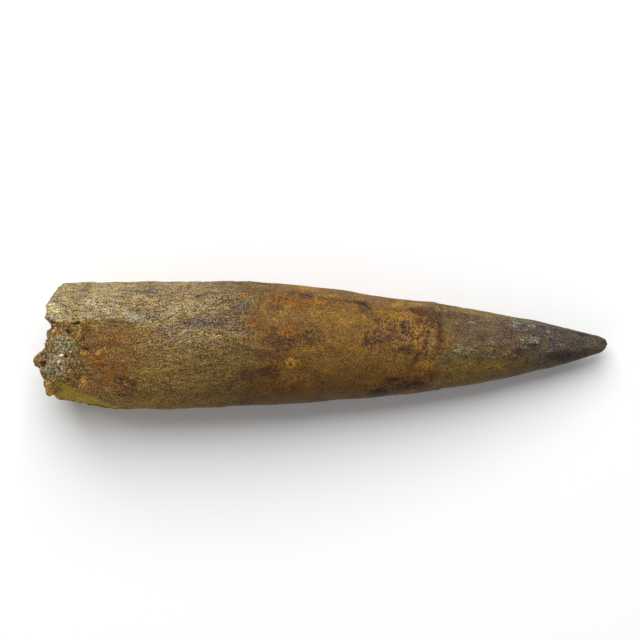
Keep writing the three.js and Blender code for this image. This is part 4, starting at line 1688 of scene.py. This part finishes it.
@dataclass
class Tooth:
    """Root and crown, grown as one, with the hollow in the root.

    The bounds are the lowest and highest corners of the solids, in metres.
    """

    form: ToothForm
    finish: ToothFinish
    bounds: Box
    row_step: float = 0.22
    first_row_x: float = 42.95
    leaning_reach: float = 12.0
    leaning_rows_share: float = 0.82
    side_width: float = 2.2
    rim_rows: int = 9
    rim_width: float = 0.3
    hollow_rows: int = 9
    # Small teeth of the broken rim: height, how many in an arc of one radian, sizes, lot.
    teeth: tuple[tuple[float, float, int, int], ...] = ((0.3, 6, 3, 81), (0.12, 22, 2, 82))
    # How far the opening's sides wander, in degrees, and where that comes and goes round them.
    wanders: tuple[tuple[float, Span, Span], ...] = (
        (4.5, (4.0, 14.0), (27.0, 38.0)), (1.5, (-46.0, -41.0), (-31.0, -24.0)),
    )
    wander_comes: Span = (-33.0, -36.0)
    roughness: float = 0.22
    glaze_frays: float = 0.7
    flake_lead: float = 1.6
    flake_lead_angles: Span = (-50.0, -62.0)
    mustard_comes: Span = (-40.4, -39.2)
    mustard_rises: Span = (0.5, 4.5)

    def angles(self) -> np.ndarray:
        """Where the columns stand: closest at the opening's sides and over the upper side.

        Returns:
            Their angles, in rising order.
        """
        f, s = self.form, self.side_width
        return spread(
            (
                (-180.0, -100.0, 32), (-100.0, f.opening_from - s, 48),
                (f.opening_from - s, f.opening_from, 16), (f.opening_from, f.opening_to, 46),
                (f.opening_to, f.opening_to + s, 16), (f.opening_to + s, 100.0, 58),
                (100.0, 180.0, 32),
            )
        )

    def rim(self, angle: np.ndarray) -> np.ndarray:
        """Where the broken wall ends, with its small teeth.

        Args:
            angle: Where round the tooth.

        Returns:
            An x for each angle.
        """
        f, s = self.form, self.side_width
        whole, opened = f.whole_rim(angle), f.opening_rim(angle)
        share = ease(angle, f.opening_from - s, f.opening_from)
        share = share * ease(-angle, -f.opening_to - s, -f.opening_to)
        turn = np.radians(angle)
        ring = np.stack([np.cos(turn), np.sin(turn), np.zeros_like(turn)], axis=-1)
        teeth = sum(
            height * Noise(lot).layered(ring * per_radian, layers)
            for height, per_radian, layers, lot in self.teeth
        )
        return whole + share * (opened - whole) + teeth

    def skin(self, x: np.ndarray, angle: np.ndarray) -> tuple[np.ndarray, dict[str, np.ndarray]]:
        """The outer surface.

        Args:
            x: Where along the tooth.
            angle: Where round it.

        Returns:
            Three numbers for each place, and its masks.
        """
        f = self.form
        wear = Weathering(f, x, angle)
        fine = wear.settle()
        frayed = self.glaze_frays * wear.field(0.4, 0.6, 2, 91)
        height = f.relief(x, angle) + fine
        step = ease(f.glaze_end_x + frayed - x, -0.25, 0.25) - f.glazed(x, 0.2)
        height += f.glaze_height * step * ease(x, 14, 16)
        points = f.on_oval(x, angle, -height)
        rough = self.roughness * wear.field(0.7, 0.9, 4, 92)
        points = points + rough[..., None] * np.array([0, 1, 0])
        gone = np.zeros(height.shape)
        lead = self.flake_lead * ease(angle, *self.flake_lead_angles)
        for flake in f.flakes:
            points, moved = flake.cut(points, lead)
            gone += moved
        split = 0.12 * (1 + wear.field(0.3, 1.5, 3, 95)) * ease(gone, 0.02, 0.3)
        points[..., 1] += split - rough * (1 - ease(gone, 0, 0.3))
        yellow = ease(points[..., 0] + 0.6 * wear.field(0.7, 0.9, 2, 94), *self.mustard_comes)
        up = ease(points[..., 2] + 1.6 * wear.field(0.3, 0.5, 3, 96), *self.mustard_rises)
        wear.masks["mustard"] = ease(gone, 0.0, 0.3) * yellow * (0.25 + 0.75 * up)
        for bevel in f.bevels:
            points, moved = bevel.cut(points)
            chipped = ease(moved, 0.0, 0.15)
            points[..., 0] -= chipped * 0.08 * (1 + wear.field(2.0, 2.0, 2, 93))
        points[..., 2] = np.maximum(0, points[..., 2])
        return points, wear.masks

    def build(self) -> bpy.types.Object:
        """Makes the piece.

        Returns:
            The new object.
        """
        f = self.form
        angles = self.angles()
        count = len(angles)
        rim = self.rim(angles)
        square = f.hollow_floor_x - 0.5
        stations = np.arange(self.first_row_x, square, -self.row_step)
        leaning_rows = int(self.leaning_reach / self.row_step * self.leaning_rows_share)
        leaning = square + (rim + 0.12 - square) * np.linspace(0, 1, leaning_rows)[1:, None]
        x = np.vstack([np.repeat(stations[:, None], count, axis=1), leaning])
        wobble = Noise(83).layered(stretched(f.on_oval(x, angles, 0), 0.9, 0.12), 3)
        sides = sum(
            reach * ease(angles, *comes) * (1 - ease(angles, *goes))
            for reach, comes, goes in self.wanders
        )
        angle = angles + wobble * sides * ease(x, *self.wander_comes)
        skin, masks = self.skin(x, angle)

        rows = [*skin, *self._wall(skin[-1], rim, angle[-1])]
        under = np.array(f.hollow_floor_x)
        floor_y = float(f.left_side(under) + f.right_side(under)) / 2
        floor_z = float(f.back(under) + f.belly(under)) / 2
        points, quads, fans = lofted(rows, f.tip, (f.hollow_floor_x, floor_y, floor_z))
        points = np.clip(points, *(np.array(corner) / MM for corner in self.bounds))
        repeats = len(rows) - len(skin)
        masks = {
            name: np.concatenate([v.ravel()[:1], v.ravel(), np.tile(v[-1], repeats), v.ravel()[:1]])
            for name, v in masks.items()
        }
        made = Skin(points, [quads, fans], masks)
        self._set_crystals(made)
        return made.piece("fossil_tooth")

    def _wall(self, edge: np.ndarray, rim: np.ndarray, angle: np.ndarray) -> list[np.ndarray]:
        """The broken rim, rounded over, and the hollow's wall.

        Args:
            edge: The skin's last ring of points.
            rim: Where the wall ends at each column.
            angle: Where round the tooth each column is.

        Returns:
            Rings of points, from the skin's edge down to near the hollow's floor.
        """
        f = self.form
        top = rim + self.rim_width
        inside = f.on_oval(top, angle, f.hollow_depth(top))
        rows = []
        for t in np.arange(1, self.rim_rows) / self.rim_rows:
            ring = edge + (inside - edge) * t
            bulge = math.sin(math.pi * t) ** 0.6
            ring[:, 0] -= bulge * (0.22 + 0.3 * Noise(84).layered(ring * 1.1, 3))
            rows.append(ring)
        for t in np.linspace(0, 0.92, self.hollow_rows):
            at = top + (f.hollow_floor_x - top) * t
            rows.append(f.on_oval(at, angle, f.hollow_depth(at)))
        return rows

    def _set_crystals(self, skin: Skin) -> None:
        """Sets the small bright crystals into the tooth's upper side.

        Args:
            skin: The tooth's skin.
        """
        points = skin.points
        hidden = (points[:, 2] < 5) * 9
        nearest = [
            np.argmin(np.hypot(points[:, 0] - x, points[:, 1] - y) + hidden) for x, y, _ in GLINTS
        ]
        skin.set_crystals("glint", points[nearest], [radius for _, _, radius in GLINTS], 5)

    def dress(self, piece: bpy.types.Object) -> None:
        """Gives the piece its finish and its place in the frame.

        Args:
            piece: The piece.
        """
        piece.data.materials.append(self.finish.material())
        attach(piece, "root")
        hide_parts("tooth")


@dataclass
class Sandstone:
    """The sandstone that set in the hollow and stands out of its broken end."""

    form: ToothForm
    finish: StoneFinish
    nub: tuple[float, float, float] = (-43.15, -2.25, 8.5)
    face_x: float = -39.9
    tilt: float = 0.1
    swell_at_rim: float = 0.3
    swell_at_face: float = 1.0
    face_profile: Profile = Profile(
        (
            (0, -43.15), (0.5, -43.05), (1.1, -42.3), (2.0, -41.6), (3.4, -41.0),
            (4.8, -40.5), (7, -39.9), (12, -39.9),
        )
    )
    # Lumps of the broken face: height, turn for each millimetre across and up, starting turn.
    lumps: tuple[tuple[float, float, float, float], ...] = (
        (0.3, 1.3, 0.8, 0.5), (0.25, -0.9, 1.7, 2.1), (0.15, 2.9, -1.1, 4.0),
        (0.12, 1.9, 3.1, 1.2),
    )
    # Deep holes and large crystals on the upper side: x, y, radius.
    holes: tuple[tuple[float, float, float], ...] = (
        (-37.6, -1.5, 0.34), (-41.4, -2.6, 0.42), (-40.9, -1.6, 0.34), (-37.2, 2.1, 0.3),
    )
    large_crystals: tuple[tuple[float, float, float], ...] = (
        (-38.2, -1.35, 0.5), (-38.65, -2.35, 0.36), (-38.1, 1.0, 0.16),
    )
    small_crystals: int = 46
    small_crystal_size: Span = (0.07, 0.16)
    past_sides: float = 4.0
    inner_end_x: float = -30.45
    floor_x: float = -30.4
    hidden_rows: int = 10
    swelling_rows: int = 26
    face_rows: int = 48
    lip_dip: float = 0.45
    lip_dip_angles: Span = (-4.0, 14.0)
    lip_gap: float = 0.26
    lip_gap_angles: Span = (10.0, 19.0)

    def angles(self) -> np.ndarray:
        """Where the columns stand: closest in the opening.

        Returns:
            Their angles, in rising order.
        """
        start = self.form.opening_from - self.past_sides
        end = self.form.opening_to + self.past_sides
        return spread(((-180.0, start, 60), (start, end, 110), (end, 180.0, 80)))

    def face(self, points: np.ndarray, share: np.ndarray) -> np.ndarray:
        """Stands points of the broken face out as far as the stone does there.

        Args:
            points: Places, three numbers each.
            share: How near each is to the face's edge, from 0 to 1.

        Returns:
            The moved points.
        """
        y, z = points[..., 1], points[..., 2]
        off = np.hypot(y - self.nub[1], z - self.nub[2])
        lumpy = ease(off, 0.6, 2.2) * ease(1 - share, 0, 0.2)
        height = self.tilt * (y - self.nub[1])
        for size, per_y, per_z, phase in self.lumps:
            height = height + size * np.sin(per_y * y + per_z * z + phase)
        moved = points.copy()
        moved[..., 0] = self.face_profile(off) + lumpy * height
        return moved

    def build(self, rim: Callable[[np.ndarray], np.ndarray]) -> bpy.types.Object:
        """Makes the piece.

        Args:
            rim: Where the tooth's broken wall ends at each angle.

        Returns:
            The new object.
        """
        f = self.form
        angles = self.angles()
        edge = rim(angles)
        leaves = np.maximum(edge, self.face_x + 0.3)
        opened = ease(angles, f.opening_from - 3, f.opening_from - 1.5)
        opened = opened * ease(-angles, -f.opening_to - 3.5, -f.opening_to - 1.5)
        rows, out = [], []
        for t in np.linspace(0.2, 1, self.hidden_rows):
            x = self.inner_end_x + (leaves + 0.1 - self.inner_end_x) * t
            rows.append(f.on_oval(x, angles, f.hollow_depth(x) + 0.35 - 0.4 * t))
            out.append(np.zeros(len(angles)))
        lip = self.lip_dip * ease(angles, *self.lip_dip_angles)
        ragged = Noise(41).layered(f.on_oval(edge, angles, 0) * 0.9, 3)
        gap = self.lip_gap * ease(angles, *self.lip_gap_angles) * ease(ragged, -0.5, 0.4)
        for t in np.linspace(0, 1, self.swelling_rows):
            x = leaves + (self.face_x - leaves) * t
            plain = f.hollow_depth(x) - 0.05
            swell = self.swell_at_rim + (self.swell_at_face - self.swell_at_rim - lip) * t * t
            swell = swell - gap * ease(np.array(t), 0, 0.3)
            rows.append(f.on_oval(x, angles, plain + opened * (swell - plain)))
            out.append(opened * min(1.0, 0.35 + 2 * t))
        outer = rows[-1]
        nub = np.array(self.nub)
        for share in [*np.linspace(0.975, 0.08, self.face_rows), 0.055, 0.03]:
            ring = self.face(nub + (outer - nub) * share, np.array(share))
            rows.append(ring)
            out.append(np.full(len(angles), ease(np.array(1 - share), -0.02, 0.1)))
        grid, shown = np.stack(rows), np.stack(out)
        grid, masks = self._roughen(grid, shown)
        above_and_below = np.array([0.0, 180.0])
        floor = f.on_oval(np.array(self.floor_x), above_and_below, np.array(0.0)).mean(axis=0)
        points, quads, fans = lofted(list(grid), floor, nub)
        points[:, 2] = np.maximum(0, points[:, 2])
        points[:, 0] = np.maximum(nub[0], points[:, 0])
        masks = {name: np.concatenate([[0.0], v.ravel(), v[-1, :1]]) for name, v in masks.items()}
        made = Skin(points, [quads, fans], masks)
        self._set_crystals(made)
        return made.piece("socket_sandstone")

    def _roughen(
        self, grid: np.ndarray, shown: np.ndarray
    ) -> tuple[np.ndarray, dict[str, np.ndarray]]:
        """Gives the broken stone its lumps, grains and pits.

        Args:
            grid: Rings of points.
            shown: How much of the roughness each has, from 0 to 1.

        Returns:
            The rough rings, and the masks for the finish.
        """
        down = np.gradient(grid, axis=0)
        round_ = np.roll(grid, -1, axis=1) - np.roll(grid, 1, axis=1)
        normal = np.cross(round_, down)
        normal /= np.maximum(1e-9, np.linalg.norm(normal, axis=-1, keepdims=True))
        lumps = Noise(31).layered(grid * 0.55, 2)
        grains, lot = Noise(32).grains(grid * 1.5)
        sand, _ = Noise(33).grains(grid * 3.0)
        bent = np.stack([Noise(n).layered(grid * 1.1, 3) for n in (38, 39, 40)], axis=-1)
        holes, which = Noise(34).grains(grid * np.array([0.8, 1.0, 0.7]) + 0.45 * bent)
        pit = ease(0.4 - holes, 0, 0.28) * ease(which, 0.5, 0.75)
        upper = ease(grid[..., 2], 7, 9)
        for x, y, radius in self.holes:
            off = np.hypot(grid[..., 0] - x, grid[..., 1] - y) / radius
            pit = np.maximum(pit, upper * ease(1.4 - off + 0.4 * bent[..., 0], 0, 0.7))
        height = 0.28 * lumps + 0.34 * (0.5 - grains) * (0.4 + lot) + 0.16 * (0.5 - sand)
        height = height - 0.42 * pit
        low = 1 - 0.45 * ease(grid[..., 0], -37.0, -35.0)
        rough = grid + (shown * height * low)[..., None] * normal
        wander = Noise(37).layered(grid * 0.7, 3)
        masks = sand_patches(grid)
        masks["stained"] = ease(grid[..., 0] + wander, -38.2, -36.2)
        # The finish paints the pits near black by this mask, as their shade.
        masks["pit"] = pit * shown
        return rough, masks

    def _set_crystals(self, skin: Skin) -> None:
        """Sets crystals into the stone's broken face: small ones at random, and a few large.

        Args:
            skin: The stone's skin.
        """
        points = skin.points
        rng = np.random.default_rng(8)
        rough = np.flatnonzero((points[:, 0] < -35.5) & (points[:, 2] > 1.0))
        picked = list(rng.choice(rough, self.small_crystals, replace=False))
        sizes = list(rng.uniform(*self.small_crystal_size, len(picked)))
        hidden = (points[:, 2] < 8) * 9
        for x, y, size in self.large_crystals:
            picked.append(int(np.argmin(np.hypot(points[:, 0] - x, points[:, 1] - y) + hidden)))
            sizes.append(size)
        places = points[picked] - np.array([0, 0, 0.03])
        places[:, 0] = np.maximum(places[:, 0], self.nub[0] + 0.2)
        skin.set_crystals("crystal", places, sizes, 6)

    def dress(self, piece: bpy.types.Object) -> None:
        """Gives the piece its finish and its place in the frame.

        Args:
            piece: The piece.
        """
        piece.data.materials.append(self.finish.material())
        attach(piece, "root")
        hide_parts("sandstone")


@dataclass
class Studio:
    """The paper that the fossil lies on, its lights and the camera over it."""

    finish: FloorFinish
    floor_half: float = 4.0
    key_power: float = 14.0
    key_size: float = 0.95
    key_from: tuple[float, float, float] = (-0.12, 0.62, 0.78)
    fill_power: float = 1.6
    fill_from: tuple[float, float, float] = (-0.6, -0.5, 0.7)
    sky: float = 0.22
    eye: tuple[float, float, float] = (-0.00035, 0.00383, 0.388)
    lens: float = 143.0

    def lay_floor(self) -> None:
        """Lays the paper just under the fossil."""
        h = self.floor_half * 1000
        corners = np.array([[-h, -h, -0.03], [h, -h, -0.03], [h, h, -0.03], [-h, h, -0.03]])
        floor = make_mesh("floor", corners, [np.array([[0, 1, 2, 3]])], {})
        floor.data.materials.append(self.finish.material())
        floor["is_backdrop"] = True

    def _lamp(self, name: str, place: tuple[float, float, float], power: float) -> None:
        """Hangs a square soft lamp that faces the fossil.

        Args:
            name: The lamp's name.
            place: Where it hangs, in metres.
            power: Its power in watts.
        """
        data = bpy.data.lights.new(name, "AREA")
        data.shape = "SQUARE"
        data.size = self.key_size
        data.energy = power
        lamp = bpy.data.objects.new(name, data)
        lamp.location = place
        lamp.rotation_euler = (-Vector(place)).to_track_quat("-Z", "Y").to_euler()
        bpy.context.collection.objects.link(lamp)

    def light(self) -> None:
        """Hangs the lamps and sets the light from all round."""
        self._lamp("key", self.key_from, self.key_power)
        self._lamp("fill", self.fill_from, self.fill_power)
        world = bpy.data.worlds.new("studio")
        world.use_nodes = True
        world.node_tree.nodes["Background"].inputs["Color"].default_value = (1, 1, 1, 1)
        world.node_tree.nodes["Background"].inputs["Strength"].default_value = self.sky
        bpy.context.scene.world = world
        bpy.context.scene.view_settings.view_transform = "Standard"

    def aim(self) -> None:
        """Hangs the camera straight above the fossil, looking down."""
        data = bpy.data.cameras.new("camera")
        data.sensor_width = 36
        data.lens = self.lens
        data.clip_start = 0.01
        camera = bpy.data.objects.new("camera", data)
        camera.location = self.eye
        bpy.context.collection.objects.link(camera)
        bpy.context.scene.camera = camera


def plain(box: Box) -> list[list[float]]:
    """A box's corners as plain lists of numbers."""
    return [[float(v) for v in corner] for corner in box]


def main() -> None:
    """Builds the fossil in its studio."""
    logging.basicConfig(level=logging.INFO, format="%(name)s: %(message)s")
    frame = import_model()
    solid_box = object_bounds()
    LOG.info("frame: %s", ", ".join(sorted(frame["nodes"])))
    form = ToothForm()
    tooth = Tooth(form, ToothFinish(), solid_box)
    root_and_crown = tooth.build()
    tooth.dress(root_and_crown)
    LOG.info("tooth: %d faces", len(root_and_crown.data.polygons))
    sandstone = Sandstone(form, StoneFinish())
    stone = sandstone.build(tooth.rim)
    sandstone.dress(stone)
    LOG.info("sandstone: %d faces", len(stone.data.polygons))
    studio = Studio(FloorFinish())
    studio.lay_floor()
    studio.light()
    studio.aim()
    LOG.info("studio: floor, lamps and camera")


if __name__ == "__main__":
    main()
